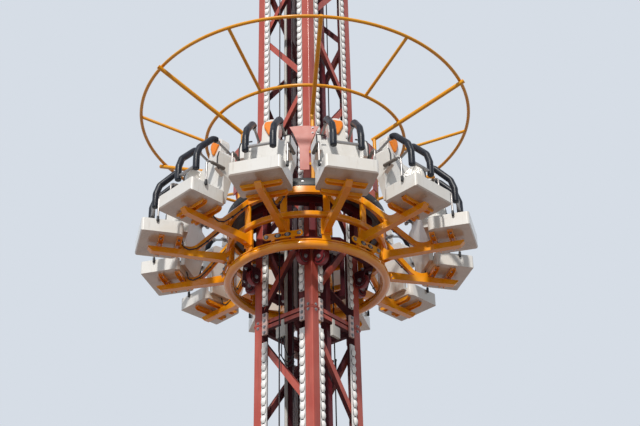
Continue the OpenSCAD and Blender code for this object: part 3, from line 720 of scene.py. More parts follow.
def bent_tube(bm: BMesh, path: Sequence[Any], radius: float, bend: float = 0.1,
              sides: int = 16, steps: int = 6) -> None:
    """Adds a tube that follows a path with rounded bends.

    Args:
        bm: Mesh that receives the tube.
        path: Corner points.
        radius: Tube radius.
        bend: Radius of each bend.
        sides: Faces round the tube.
        steps: Faces along each bend.
    """
    path = [Vector(p) for p in path]
    made = bmesh.ops.create_circle(bm, cap_ends=True, radius=radius, segments=sides,
                                   matrix=pointing(path[0], (path[1] - path[0]).normalized()))
    ring = made["verts"]
    start = {f for v in ring for f in v.link_faces}
    bmesh.ops.reverse_faces(bm, faces=list(start))
    edges = list({e for v in ring for e in v.link_edges})
    at = path[0].copy()
    for i in range(1, len(path)):
        along = (path[i] - path[i - 1]).normalized()
        end = path[i].copy()
        angle = 0.0
        if i < len(path) - 1:
            onward = (path[i + 1] - path[i]).normalized()
            angle = along.angle(onward)
            end -= along * bend * tan(angle / 2)
        out = bmesh.ops.extrude_edge_only(bm, edges=edges)["geom"]
        ring, edges = only(out, BMVert), only(out, BMEdge)
        bmesh.ops.translate(bm, verts=ring, vec=end - at)
        at = end
        if angle > 0.001:
            axis = along.cross(onward).normalized()
            inward = axis.cross(along).normalized()
            centre = at + inward * bend
            out = bmesh.ops.spin(bm, geom=ring + edges, cent=centre, axis=axis,
                                 dvec=(0, 0, 0), angle=angle, steps=steps, use_merge=False,
                                 use_duplicate=False)["geom_last"]
            ring, edges = only(out, BMVert), only(out, BMEdge)
            at = centre + Matrix.Rotation(angle, 3, axis) @ (at - centre)
    bmesh.ops.edgeloop_fill(bm, edges=edges)
    bmesh.ops.recalc_face_normals(bm, faces=bm.faces)


def pattern_of(bm: BMesh) -> Mesh:
    """A mesh to copy from.

    Args:
        bm: Its shape, which is freed.

    Returns:
        The mesh.
    """
    mesh = bpy.data.meshes.new("pattern")
    bm.to_mesh(mesh)
    bm.free()
    return mesh


def copies(pattern: Mesh, places: Iterable[Matrix]) -> BMesh:
    """One bmesh that holds a pattern mesh at every place.

    Args:
        pattern: Mesh that is repeated.
        places: Where each copy stands.

    Returns:
        The bmesh.
    """
    bm = bmesh.new()
    for place in places:
        start = len(bm.verts)
        bm.from_mesh(pattern)
        bm.verts.ensure_lookup_table()
        bmesh.ops.transform(bm, matrix=place, verts=bm.verts[start:])
    return bm


def inflated(bm: BMesh, voxel: float, cap: float, pressure: float = 4.0) -> Mesh:
    """Blows a closed form up like a stuffed cover, with a short cloth simulation.

    Args:
        bm: Closed form, which is freed.
        voxel: Cell size that the form is remeshed to.
        cap: Furthest that a point may move.
        pressure: Inner pressure of the cloth.
    """
    form = bpy.data.objects.new("cloth_form", pattern_of(bm))
    scene = bpy.context.scene
    scene.collection.objects.link(form)

    def take() -> None:
        """Makes the modifiers' result the form's own mesh."""
        evaluated = form.evaluated_get(bpy.context.evaluated_depsgraph_get())
        result = bpy.data.meshes.new_from_object(evaluated)
        form.modifiers.clear()
        form.data = result

    remesh = form.modifiers.new("remesh", "REMESH")
    remesh.mode, remesh.voxel_size = "VOXEL", voxel
    take()
    rest = [v.co.copy() for v in form.data.vertices]
    cloth = form.modifiers.new("cloth", "CLOTH")
    cloth.settings.use_pressure = True
    cloth.settings.uniform_pressure_force = pressure
    cloth.settings.effector_weights.gravity = 0.0
    cloth.settings.quality = 6
    cloth.point_cache.frame_end = CLOTH_FRAMES
    for number in range(1, CLOTH_FRAMES + 1):
        scene.frame_set(number)
    take()
    for vertex, start in zip(form.data.vertices, rest):
        shift = vertex.co - start
        if shift.length > cap:
            vertex.co = start + shift.normalized() * cap
    scene.frame_set(1)
    made = form.data
    bpy.data.objects.remove(form)
    return made


@dataclass(frozen=True)
class Layout:
    """Places that several assemblies share."""

    half_w: float = 0.55
    column_w: float = 0.15
    base_z: float = 0.74
    section_h: float = 9.23
    ring_z: float = 10.72
    ring_turn: float = 24.0
    spoke_turn: float = 15.0

    @property
    def joint_z(self) -> float:
        """Height of the section joint."""
        return self.base_z + self.section_h

    @property
    def column_c(self) -> float:
        """Distance of a column's centre from the tower's middle plane."""
        return self.half_w - self.column_w / 2


LAYOUT = Layout()


class Assembly:
    """Pieces that ride on one body."""

    body: str

    def add(self, name: str, bm: BMesh, slot: str, finish: str = "",
            nodes: Sequence[str] = (), sharp_deg: float = SHARP_DEG) -> Object:
        """Makes a finished piece of a bmesh.

        Args:
            name: Piece name.
            bm: The mesh, which is freed.
            slot: Material slot, and finish where no other is named.
            finish: Name of another finish.
            nodes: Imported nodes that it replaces.
            sharp_deg: Edges that turn more than this stay sharp.

        Returns:
            The piece.
        """
        return put(piece_from(name, bm, sharp_deg), self.body, finish or slot, nodes)

    def add_bolts(self, name: str, heads: Iterable[tuple[Matrix, float]]) -> None:
        """Makes one piece of bolt heads.

        Args:
            name: Piece name.
            heads: Place and size of each head.
        """
        bm = bmesh.new()
        for place, size in heads:
            bolt_head(bm, place, size)
        self.add(name, bm, "galvanised")

    def ease(self, nodes: str, width: float, slot: str, segments: int = 2,
             finish: str = "") -> None:
        """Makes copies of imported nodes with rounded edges, which stand for the nodes.

        Args:
            nodes: Names of the nodes, with spaces between them.
            width: Width of the rounding; 0 leaves the edges as they are.
            slot: Material slot, and finish where no other is named.
            segments: Faces across the rounding.
            finish: Name of another finish.
        """
        for node in nodes.split():
            bm = bmesh.new()
            bm.from_mesh(frame["nodes"][node].data)
            bmesh.ops.remove_doubles(bm, verts=bm.verts, dist=MERGE)
            if width:
                bmesh.ops.dissolve_limit(bm, angle_limit=radians(0.6), verts=bm.verts,
                                         edges=bm.edges, delimit={"NORMAL"})
                bevelled(bm, width, segments)
            flat_faced(self.add(f"{node}_dressed", bm, slot, finish, [node]))


@dataclass
class Tower(Assembly):
    """Lattice tower with its base, head, light strips and ropes."""

    body: str = Body.TOWER.value
    edge: float = 0.004
    lamp_pitch: float = 0.132
    lamp_r: float = 0.045
    lamp_cut: float = 0.004
    # How far the rims sit below the lamps, so they show as painted shadow under each lamp.
    shadow_drop: float = 0.009
    strip_w: float = 0.092
    strip_stop: float = 0.295
    box_drop: float = 0.315
    cable_r: float = 0.0075
    cables: tuple[Pair, ...] = ((-0.085, 0.22), (-0.03, 0.3), (0.02, 0.17))
    block_bolts: tuple[float, ...] = (-0.14, -0.048, 0.048, 0.14)
    collar_h: float = 0.02
    collar_out: float = 0.006

    def dress_steel(self) -> None:
        """Rounds the edges of the steel, strips, boxes and sheaves."""
        self.ease("corner_columns base_legs base_beams head_frame bracing_front bracing_right "
                  "bracing_back bracing_left", self.edge, "tower_paint")
        self.ease("guide_posts", self.edge, "deep_red_paint")
        self.ease("base_plate", self.edge, "galvanised")
        self.ease("light_strips", 0.003, "white_strip")
        self.ease("joint_blocks", 0.006, "pale_pink_paint")
        self.ease("junction_boxes", 0.012, "grey_box", 3)
        self.ease("head_sheaves base_sheaves", 0.003, "galvanised")
        self.ease("conduit", 0.0, "grey_box")
        self.ease("hoist_ropes", 0.0, "steel_rope")

    def strip_centres(self) -> Iterable[float]:
        """Offsets of a face's two light strips from its middle."""
        inner = LAYOUT.half_w - LAYOUT.column_w - self.strip_w / 2
        return (-inner, inner)

    def lamp_spots(self) -> list[Point]:
        """Places of the lamps on the first face, section by section.

        Returns:
            The lamps' middles, in the plane of the columns' outer sides.
        """
        count = int((LAYOUT.section_h - 2 * self.strip_stop) / self.lamp_pitch)
        feet = [LAYOUT.base_z + section * LAYOUT.section_h + self.strip_stop
                + self.lamp_pitch / 2 for section in range(2)]
        return [(x, -LAYOUT.half_w, foot + i * self.lamp_pitch)
                for foot in feet for x in self.strip_centres() for i in range(count)]

    def lamps(self) -> None:
        """Domed lamps in a row along every light strip, one piece for each face."""
        for number, turn in enumerate(around(4), 1):
            bm = bmesh.new()
            for spot in self.lamp_spots():
                self.lamp(bm, turn @ moved(*spot))
            self.add(f"strip_lamps_{number}", bm, "white_strip", "lamp_dome",
                     sharp_deg=SOFT_DEG)

    def lamp(self, bm: BMesh, place: Matrix) -> None:
        """Adds one cap that stands out of a strip, open towards the strip behind it.

        Args:
            bm: Mesh that receives it.
            place: Middle of the cap, with local Y towards the strip.
        """
        made = bmesh.ops.create_uvsphere(bm, u_segments=10, v_segments=7, radius=self.lamp_r,
                                         matrix=place @ scaled(1.0, 0.8, 1.42))
        behind = place @ Vector((0, -self.lamp_cut, 0))
        outward = (place.to_3x3() @ Vector(FORWARD)).normalized()
        hidden = [v for v in made["verts"] if (v.co - behind).dot(outward) < -self.lamp_cut]
        bmesh.ops.delete(bm, geom=hidden, context="VERTS")

    def lamp_seats(self) -> None:
        """Grey rims set low behind the lamps, so that they show under each lamp as a painted
        shadow.
        """
        bm = bmesh.new()
        for turn in around(4):
            for x, y, z in self.lamp_spots():
                place = turn @ pointing((x, y - 0.001, z - self.shadow_drop), FORWARD)
                disc(bm, place @ scaled(1.0, 1.36, 1.0), self.lamp_r, self.lamp_r - 0.003,
                     0.008, 14)
        self.add("lamp_seats", bm, "white_strip", "lamp_rubber")

    def box_cables(self) -> None:
        """Cables that hang from the junction boxes back to the conduit."""
        bm = bmesh.new()
        z, out = LAYOUT.joint_z - self.box_drop, -LAYOUT.column_c - 0.067
        for turn in around(2):
            for x, drop in self.cables:
                path = [(x, out, z + 0.004), (x, out, z - drop),
                        (x * 0.5, out + 0.12, z - drop - 0.14), (x * 0.2, out + 0.25, z - drop)]
                bent_tube(bm, [turn @ Vector(corner) for corner in path], self.cable_r, 0.06,
                          8, 5)
                disc(bm, turn @ moved(x, out, z - 0.012), 0.016, 0.012, 0.03, 10)
        self.add("box_cables", bm, "grey_box", "hose_rubber", sharp_deg=ROUND_DEG)

    def joint_bolts(self) -> None:
        """Bolts and pins of the section joint and of the splice blocks."""
        rows = [(x, dz, 0.03) for x in self.strip_centres() for dz in self.block_bolts]
        rows += [(side * LAYOUT.column_c, dz, 0.026) for side in SIDES for dz in (-0.04, 0.04)]
        outer = -LAYOUT.half_w + 0.001
        self.add_bolts("joint_bolts", [
            (turn @ pointing((x, outer, LAYOUT.joint_z + dz), FORWARD), size)
            for turn in around(4) for x, dz, size in rows])

    def joint_collars(self) -> None:
        """Welded lips round every column at the section joint."""
        bm = bmesh.new()
        wide = 2 * (LAYOUT.column_w / 2 + self.collar_out)
        for sx in SIDES:
            for sy in SIDES:
                for dz in (-0.011, 0.011):
                    place = moved(sx * LAYOUT.column_c, sy * LAYOUT.column_c,
                                  LAYOUT.joint_z + dz)
                    block(bm, place, wide, wide, self.collar_h)
        bevelled(bm, 0.005)
        self.add("joint_collars", bm, "tower_paint")

    def build(self) -> None:
        """Makes the whole tower."""
        self.dress_steel()
        self.lamps()
        self.lamp_seats()
        self.box_cables()
        self.joint_bolts()
        self.joint_collars()


@dataclass
class Carriage(Assembly):
    """Climbing frame with its guide wheels."""

    body: str = Body.CARRIAGE.value
    wheel_c: float = 0.6704
    wheel_r: float = 0.12
    wheel_w: float = 0.07
    wheel_steps: int = 40
    levels: tuple[float, ...] = (0.0, 1.125)
    nut_y: float = 0.058
    plate_bolts: tuple[Pair, ...] = (
        (0.80, -0.3), (0.80, 0.3), (0.92, -0.2), (0.92, 0.2))

    def dress_steel(self) -> None:
        """Rounds the edges of the frames, posts, forks, clamps and fixed race."""
        self.ease("carriage_lower_frame carriage_upper_frame carriage_posts wheel_forks", 0.005,
                  "deep_red_paint")
        self.ease("rope_clamps", 0.004, "galvanised")
        self.ease("slewing_ring_fixed", 0.003, "black_steel")

    def wheel_places(self) -> Iterable[Matrix]:
        """Places of the wheels' centres.

        Returns:
            Matrices whose local Y runs along the axle.
        """
        across = Matrix.Rotation(tau / 4, 4, "Z")
        for turn in around(4):
            for z in self.levels:
                at = LAYOUT.ring_z + z
                yield turn @ moved(self.wheel_c, LAYOUT.column_c, at)
                yield turn @ moved(LAYOUT.column_c, self.wheel_c, at) @ across

    def wheels(self) -> None:
        """Wheels with a crowned tread, a dished hub and nuts on the axle."""
        w, r = self.wheel_w / 2, self.wheel_r
        rim = [(0.086, -w), (r - 0.008, -w), (r - 0.002, -w + 0.006), (r, -w + 0.014)]
        dish = [(0.0, -w - 0.012), (0.026, -w - 0.012), (0.03, -w - 0.004), (0.034, -w + 0.012),
                (0.074, -w + 0.014), (0.08, -w - 0.002), (0.0865, -w - 0.002)]
        lay = Matrix.Rotation(tau / 4, 4, "X")
        for name, half, closed, slot, nodes in (
                ("wheel_treads", rim, True, "wheel_tread", ["guide_wheels"]),
                ("wheel_hubs", dish, False, "galvanised", [])):
            profile = half + [(x, -y) for x, y in reversed(half)]
            wheel = pattern_of(turned(profile, self.wheel_steps, closed))
            places = [place @ lay for place in self.wheel_places()]
            self.add(name, copies(wheel, places), slot, nodes=nodes)
        self.add_bolts("axle_nuts", [
            (pointing((place @ moved(0, side * self.nut_y, 0)).translation,
                      place.to_3x3() @ Vector((0, side, 0))), 0.036)
            for place in self.wheel_places() for side in SIDES])

    def frame_bolts(self) -> None:
        """Bolts that tie the wheel plates to the frames."""
        self.add_bolts("wheel_plate_bolts", [
            (pointing(turn @ Vector((x, y, LAYOUT.ring_z + 0.13)), DOWNWARD), 0.03)
            for turn in around(4, 45.0) for x, y in self.plate_bolts])

    def build(self) -> None:
        """Makes the whole carriage."""
        self.dress_steel()
        self.wheels()
        self.frame_bolts()


@dataclass
class RingFrame(Assembly):
    """Turning ring: rings, posts, arms, struts and splices."""

    body: str = Body.RING.value
    bottom_r: float = 1.175
    tube_r: float = 0.065
    flange_w: float = 0.096
    flange_t: float = 0.014
    flange_in: float = 0.008
    flange_edge: float = 0.003
    steps: int = 144
    splice_out: float = 0.02
    splice_up: float = 0.069
    splice_bolts: tuple[Pair, ...] = (
        (-0.243, 1.0), (-0.072, 1.55), (0.072, 1.55), (0.243, 1.0))
    hole_shade_r: float = 0.033
    cover_r: float = 1.211
    cover_t: float = 0.013
    cover_low: float = 0.979
    cover_high: float = 1.098
    slew_bolt_r: float = 1.148
    slew_bolt_z: float = 0.985
    hose_r: float = 0.0095
    hose_y: float = 0.054
    hose_slope: float = 139.0
    hose_path: tuple[Pair, ...] = (
        (1.24, 0.84), (1.35, 0.715), (1.525, 0.515), (1.68, 0.372), (1.8, 0.33), (1.88, 0.37),
        (1.912, 0.5))

    def rings(self) -> None:
        """The round bottom ring with its flange, and the middle, top and turning rings."""
        z = LAYOUT.ring_z
        bm = turned(circle(self.bottom_r, z, self.tube_r, 28), self.steps)
        self.add("bottom_ring_tube", bm, "ring_paint", nodes=["bottom_ring"],
                 sharp_deg=ROUND_DEG)
        low, high = z + self.tube_r - self.flange_in, z + self.tube_r + self.flange_t
        inner, outer = self.bottom_r - self.flange_w / 2, self.bottom_r + self.flange_w / 2
        edge = self.flange_edge
        bm = turned([(inner, low), (outer, low), (outer, high - edge), (outer - edge, high),
                     (inner + edge, high), (inner, high - edge)], self.steps)
        self.add("bottom_ring_flange", bm, "ring_paint")
        self.ease("middle_ring", 0.024, "ring_paint", 5)
        self.ease("top_ring", 0.004, "ring_paint")
        self.ease("slewing_ring_turning", 0.003, "black_steel")
        self.ease("ring_posts seat_arms arm_struts seat_cross_beams splice_plates", 0.005,
                  "ring_paint", 3)

    def splices(self) -> None:
        """Bolts in the round and slotted holes of every splice plate, in black discs that paint
        the shade inside the holes.
        """
        bm, hole_shades = bmesh.new(), bmesh.new()
        face = self.bottom_r + self.flange_w / 2 + self.splice_out
        level = LAYOUT.ring_z + self.tube_r + self.flange_t + self.splice_up
        for turn in around(6, LAYOUT.ring_turn + 30.0):
            for y, slotted in self.splice_bolts:
                bolt_head(bm, turn @ pointing((face, y, level), OUTWARD), 0.03)
                # Black discs round the bolts: painted shade inside the holes.
                hole_shade = turn @ moved(face, y, level) @ scaled(1, slotted, 1)
                disc(hole_shades, hole_shade @ pointing((0, 0, 0), OUTWARD), self.hole_shade_r, self.hole_shade_r, 0.006,
                     24)
        self.add("splice_bolts", bm, "galvanised")
        self.add("splice_wells", hole_shades, "black_steel", "hose_rubber")

    def race_cover(self) -> None:
        """Black rubber band round the feet of the crown's posts, with its clamping bolts."""
        low, high = LAYOUT.ring_z + self.cover_low, LAYOUT.ring_z + self.cover_high
        inner, outer = self.cover_r, self.cover_r + self.cover_t
        bm = turned([(inner, low), (outer, low), (outer, high - 0.004), (outer - 0.004, high),
                     (inner, high)], self.steps)
        self.add("race_cover", bm, "black_steel", "hose_rubber", sharp_deg=ROUND_DEG)
        spot = pointing((outer - 0.002, 0, (low + high) / 2), OUTWARD)
        self.add_bolts("race_cover_bolts", [(turn @ spot, 0.016) for turn in around(24, 7.5)])

    def slew_bolts(self) -> None:
        """Bolts round the turning race's flange."""
        spot = moved(self.slew_bolt_r, 0, LAYOUT.ring_z + self.slew_bolt_z)
        self.add_bolts("slewing_bolts", [(turn @ spot, 0.022) for turn in around(48, 3.0)])

    def hoses(self) -> None:
        """Air hoses that run from the ring down beside every strut to the seat."""
        bm = bmesh.new()
        path = [Vector((r, self.hose_y, h + LAYOUT.ring_z)) for r, h in self.hose_path]
        slope = Matrix.Rotation(radians(self.hose_slope), 4, "Y")
        for turn in around(12, LAYOUT.ring_turn):
            bent_tube(bm, [turn @ corner for corner in path], self.hose_r, 0.05, 9, 4)
            for r, _, z in path[1:3]:
                clip = turn @ moved(r, self.hose_y - 0.002, z) @ slope
                disc(bm, clip, 2 * self.hose_r, 2 * self.hose_r, 0.02, 12)
        self.add("seat_hoses", bm, "black_steel", "hose_rubber", sharp_deg=ROUND_DEG)

    def build(self) -> None:
        """Makes the whole ring frame."""
        self.rings()
        self.splices()
        self.race_cover()
        self.slew_bolts()
        self.hoses()


@dataclass
class Crown(Assembly):
    """Double ring on spokes above the seats, with its posts and panels."""

    body: str = Body.RING.value
    out_r: float = 2.63
    out_z: float = 2.95
    in_r: float = 1.58
    in_z: float = 2.515
    tube: float = 0.026
    post: float = 0.0277
    post_r: float = 1.18
    panel_z: float = 1.24
    panel_turn: float = 6.0
    panel_h: float = 0.785
    panel_t: float = 0.012
    panel_half: float = 0.222
    stem_half: float = 0.07
    crest: float = 0.02
    bar_levels: Pair = (0.12, 0.33)
    bar_h: float = 0.04
    bar_in: float = 0.018
    bolt_levels: Pair = (0.66, 0.75)

    def rings(self) -> None:
        """The two round rings."""
        for name, r, z in (("crown_outer_ring", self.out_r, self.out_z),
                           ("crown_inner_ring", self.in_r, self.in_z)):
            bm = turned(circle(r, LAYOUT.ring_z + z, self.tube, 18), 160)
            self.add(f"{name}_tube", bm, "ring_paint", "crown_paint", [name], SOFT_DEG)

    def panel_outline(self) -> list[Pair]:
        """Outline of a panel.

        Returns:
            Offset from its middle line and height of each point, once round it.
        """
        top, tall = self.panel_half, self.panel_h
        shoulder = tall - 0.012
        side = [(self.stem_half, 0.0), (self.stem_half, 0.48 * tall), (0.12, 0.68 * tall),
                (0.172, 0.86 * tall), (top, shoulder)]
        bow = [(top * x, shoulder + self.crest * (1.0 - x * x))
               for x in (0.66, 0.33, 0.0, -0.33, -0.66)]
        return side + bow + [(-y, z) for y, z in reversed(side)]

    def panels(self) -> None:
        """Funnel-shaped plates with a bowed top, centred on the gaps between the seats."""
        plate = bmesh.new()
        face = plate.faces.new([plate.verts.new((0, y, z)) for y, z in self.panel_outline()])
        lifted = bmesh.ops.extrude_face_region(plate, geom=[face])["geom"]
        bmesh.ops.translate(plate, verts=only(lifted, BMVert), vec=(self.panel_t, 0, 0))
        bmesh.ops.recalc_face_normals(plate, faces=plate.faces)
        bevelled(plate, 0.003, 2, 50.0)
        seat = moved(self.post_r + self.post, 0, LAYOUT.ring_z + self.panel_z)
        places = [turn @ seat for turn in around(6, LAYOUT.spoke_turn - self.panel_turn)]
        flat_faced(self.add("crown_panel_plates", copies(pattern_of(plate), places),
                            "salmon_paint", nodes=["crown_panels"]))

    def panel_holders(self) -> None:
        """Short bars from the posts to the panels' stems, and the panels' bolts."""
        bars = bmesh.new()
        reach = self.post_r * radians(self.panel_turn)
        foot = LAYOUT.ring_z + self.panel_z
        front = self.post_r + self.post + self.panel_t
        turns = list(around(6, LAYOUT.spoke_turn))
        for turn in turns:
            for z in self.bar_levels:
                place = turn @ moved(self.post_r + self.bar_in, -reach / 2, foot + z)
                block(bars, place, self.panel_t, reach + 0.03, self.bar_h)
        self.add("panel_bars", bars, "ring_paint", "crown_paint")
        self.add_bolts("panel_bolts", [(turn @ pointing((front, 0, foot + z), OUTWARD), 0.024)
                                       for turn in turns for z in self.bolt_levels])

    def build(self) -> None:
        """Makes the whole crown."""
        self.rings()
        self.ease("crown_posts crown_long_spokes crown_short_spokes", 0.0, "ring_paint",
                  finish="crown_paint")
        self.panels()
        self.panel_holders()


@dataclass(frozen=True)
class SeatPlan:
    """Places in a seat's own side plane: radius from the axis and height over the ring."""

    front_r: float = 2.55
    depth: float = 0.625
    width: float = 0.755
    under_z: float = 0.394
    front_h: float = 0.21
    pan_d: float = 0.07
    lean_deg: float = 6.5
    back_t: float = 0.11
    back_top: float = 1.76
    shoulder_h: float = 0.77
    wing_d: float = 0.185
    wing_foot_h: float = 0.4
    pad_foot_h: float = 0.905
    pad_w: float = 0.196
    lug_r: float = 0.044
    pivot_gap: float = 0.004
    pivot_z: float = 1.43
    bar_gap: float = 0.4
    bar_top: float = 1.558
    bar_end: float = 0.89
    bar_front_in: float = 0.2
    grab_z: float = 0.966
    grab_front_in: float = 0.23
    grab_off: float = 0.006

    @property
    def rear_r(self) -> float:
        """Radius of the seat base's rear."""
        return self.front_r - self.depth

    @property
    def rim_z(self) -> float:
        """Height of the seat base's rim."""
        return self.under_z + self.front_h

    @property
    def pan_z(self) -> float:
        """Height of the seat's pan."""
        return self.rim_z - self.pan_d

    @property
    def shoulder_z(self) -> float:
        """Height of the seat back's shoulders."""
        return self.pan_z + self.shoulder_h

    @property
    def bar_front(self) -> float:
        """Radius of the padded bars in front of the rider."""
        return self.front_r - self.bar_front_in

    @property
    def pivot_r(self) -> float:
        """Radius of the restraint's pivot."""
        behind = self.back_t + (self.lug_r + self.pivot_gap) / cos(radians(self.lean_deg))
        return self.back_at(self.pivot_z) - behind

    @property
    def bar_top_r(self) -> float:
        """Radius at which the padding of a bar starts."""
        return self.pivot_r + 0.281

    def back_at(self, z: float) -> float:
        """Radius of the seat back's front at a height."""
        return self.rear_r + 0.04 - (z - self.pan_z) * tan(radians(self.lean_deg))

    def places(self) -> list[Matrix]:
        """Turns that bring the first seat's side plane to every seat, at the ring's height."""
        lift = moved(0, 0, LAYOUT.ring_z)
        return [lift @ turn for turn in around(12, LAYOUT.ring_turn)]


SEAT = SeatPlan()


@dataclass
class Seats(Assembly):
    """Moulded seats with their head pads, edge trims, grab bars and pivot lugs."""

    body: str = Body.RING.value
    pad_t: float = 0.024
    pad_inset: float = 0.004
    pad_cells: tuple[int, int] = (12, 14)
    grab_r: float = 0.015
    grab_foot: float = 0.046
    sleeve_t: float = 0.0095
    boot_t: float = 0.005
    boot_h: float = 0.075
    trim_r: float = 0.0105
    beam_in: float = 0.047
    lug_out: float = 0.049

    def shells(self) -> None:
        """Seat bases, backs and lugs with their edges rounded."""
        self.ease("seat_bases", 0.018, "white_shell", 4)
        self.ease("seat_backs", 0.014, "white_shell", 4)
        self.ease("pivot_lugs", 0.003, "galvanised")

    def cushion(self, half: float, tall: float) -> BMesh:
        """A shield outline, narrow at its foot and rounded at its top, given thickness.

        Args:
            half: Half of its greatest width.
            tall: Its height.

        Returns:
            The closed form, with its faces outward.
        """
        bm = bmesh.new()
        x_cells, y_cells = self.pad_cells
        made = bmesh.ops.create_grid(bm, x_segments=x_cells, y_segments=y_cells, size=0.5)
        for vertex in made["verts"]:
            rise = vertex.co.y + 0.5
            share = min(1.0, 0.17 + 1.25 * rise ** 0.8)
            if rise > 0.8:
                share -= 0.28 * (5.0 * (rise - 0.8)) ** 2
            vertex.co.x *= 2 * half * share
            vertex.co.y = rise * tall
        out = bmesh.ops.extrude_face_region(bm, geom=bm.faces[:])["geom"]
        bmesh.ops.translate(bm, verts=only(out, BMVert), vec=(0, 0, self.pad_t))
        bmesh.ops.recalc_face_normals(bm, faces=bm.faces)
        return bm

    def head_pads(self) -> None:
        """Stuffed pads shaped like a shield, swollen by simulation."""
        inset = self.pad_inset
        low, high = SEAT.pan_z + SEAT.pad_foot_h, SEAT.back_top - 0.048
        mesh = inflated(self.cushion(SEAT.pad_w / 2 - inset, high - low - 2 * inset), 0.006,
                        0.008)
        lean = Matrix.Rotation(-radians(SEAT.lean_deg), 4, "Y")
        stand = Matrix(((0, 0, 1, 0), (1, 0, 0, 0), (0, 1, 0, 0), (0, 0, 0, 1)))
        foot = low + inset
        spot = moved(SEAT.back_at(foot) + 0.003, 0, foot) @ lean @ stand
        piece = self.add("head_cushions", copies(mesh, [p @ spot for p in SEAT.places()]),
                         "orange_pad", nodes=["head_pads"], sharp_deg=70.0)

    def grab_bars(self) -> None:
        """Bent tubes beside each seat, with a sleeve on the level part and a boot on the foot."""
        up_r, rear = SEAT.front_r - SEAT.grab_front_in, SEAT.rear_r + 0.078
        foot, level = SEAT.rim_z - self.grab_foot, SEAT.grab_z
        tubes, sleeves, boots = bmesh.new(), bmesh.new(), bmesh.new()
        for side in SIDES:
            y = side * (SEAT.width / 2 + SEAT.grab_off + self.grab_r)
            bent_tube(tubes, [(rear, y, level), (up_r, y, level), (up_r, y, foot)], self.grab_r,
                      0.06, 14, 7)
            for r, z in ((rear + 2 * self.grab_r, level), (up_r, foot + 2 * self.grab_r)):
                flange = pointing((r, side * SEAT.width / 2, z), (0, side, 0))
                disc(tubes, flange @ moved(0, 0, 0.005), 0.024, 0.02, 0.012, 18)
            bent_tube(sleeves, [(rear - 0.008, y, level), (up_r - 0.08, y, level)],
                      self.grab_r + self.sleeve_t)
            bent_tube(boots, [(up_r, y, foot - 0.012), (up_r, y, foot + self.boot_h)],
                      self.grab_r + self.boot_t)
        for bm in (sleeves, boots):
            bevelled(bm, 0.008, 3, SOFT_DEG)
        for name, bm, finish, nodes in (("grab_tubes", tubes, "grey_tube", ["grab_bars"]),
                                        ("grab_sleeves", sleeves, "grip_foam", []),
                                        ("grab_boots", boots, "hose_rubber", [])):
            self.add(name, copies(pattern_of(bm), SEAT.places()), "grey_tube", finish, nodes,
                     ROUND_DEG)

    def edge_trims(self) -> None:
        """Black rubber edging along the wings' front and over their shoulders."""
        wing, edge = SEAT.rear_r + SEAT.wing_d, SEAT.width / 2 - 0.005
        foot, top = SEAT.pan_z + SEAT.wing_foot_h, SEAT.shoulder_z
        corners = [(-0.036, 0.0, foot + 0.002), (0.0, 0.0, foot + 0.036), (0.0, 0.0, top - 0.17),
                   (-0.034, 0.006, top - 0.07), (-0.12, 0.075, top + 0.002),
                   (-0.126, 0.15, top + 0.005)]
        bm = bmesh.new()
        for side in SIDES:
            path = [(wing + back, side * (edge - inward), z) for back, inward, z in corners]
            bent_tube(bm, path, self.trim_r, 0.03, 8, 4)
        self.add("wing_edging", copies(pattern_of(bm), SEAT.places()), "black_pad",
                 "hose_rubber", sharp_deg=SOFT_DEG)

    def fixings(self) -> None:
        """Bolts through the cross beams into the seat base, and on the lugs."""
        beams = (SEAT.rear_r + self.beam_in, SEAT.rear_r + SEAT.depth / 2)
        lug_y = SEAT.bar_gap / 2 + self.lug_out
        heads = [(pointing((r, y, SEAT.under_z - 0.007), DOWNWARD), 0.022)
                 for y in (-0.2, 0.2) for r in beams]
        heads += [(pointing((SEAT.pivot_r, side * lug_y, SEAT.pivot_z), (0, side, 0)), 0.024)
                  for side in SIDES]
        self.add_bolts("seat_bolts", [(place @ head, size) for place in SEAT.places()
                                      for head, size in heads])

    def build(self) -> None:
        """Makes all seats."""
        self.shells()
        self.head_pads()
        self.grab_bars()
        self.edge_trims()
        self.fixings()


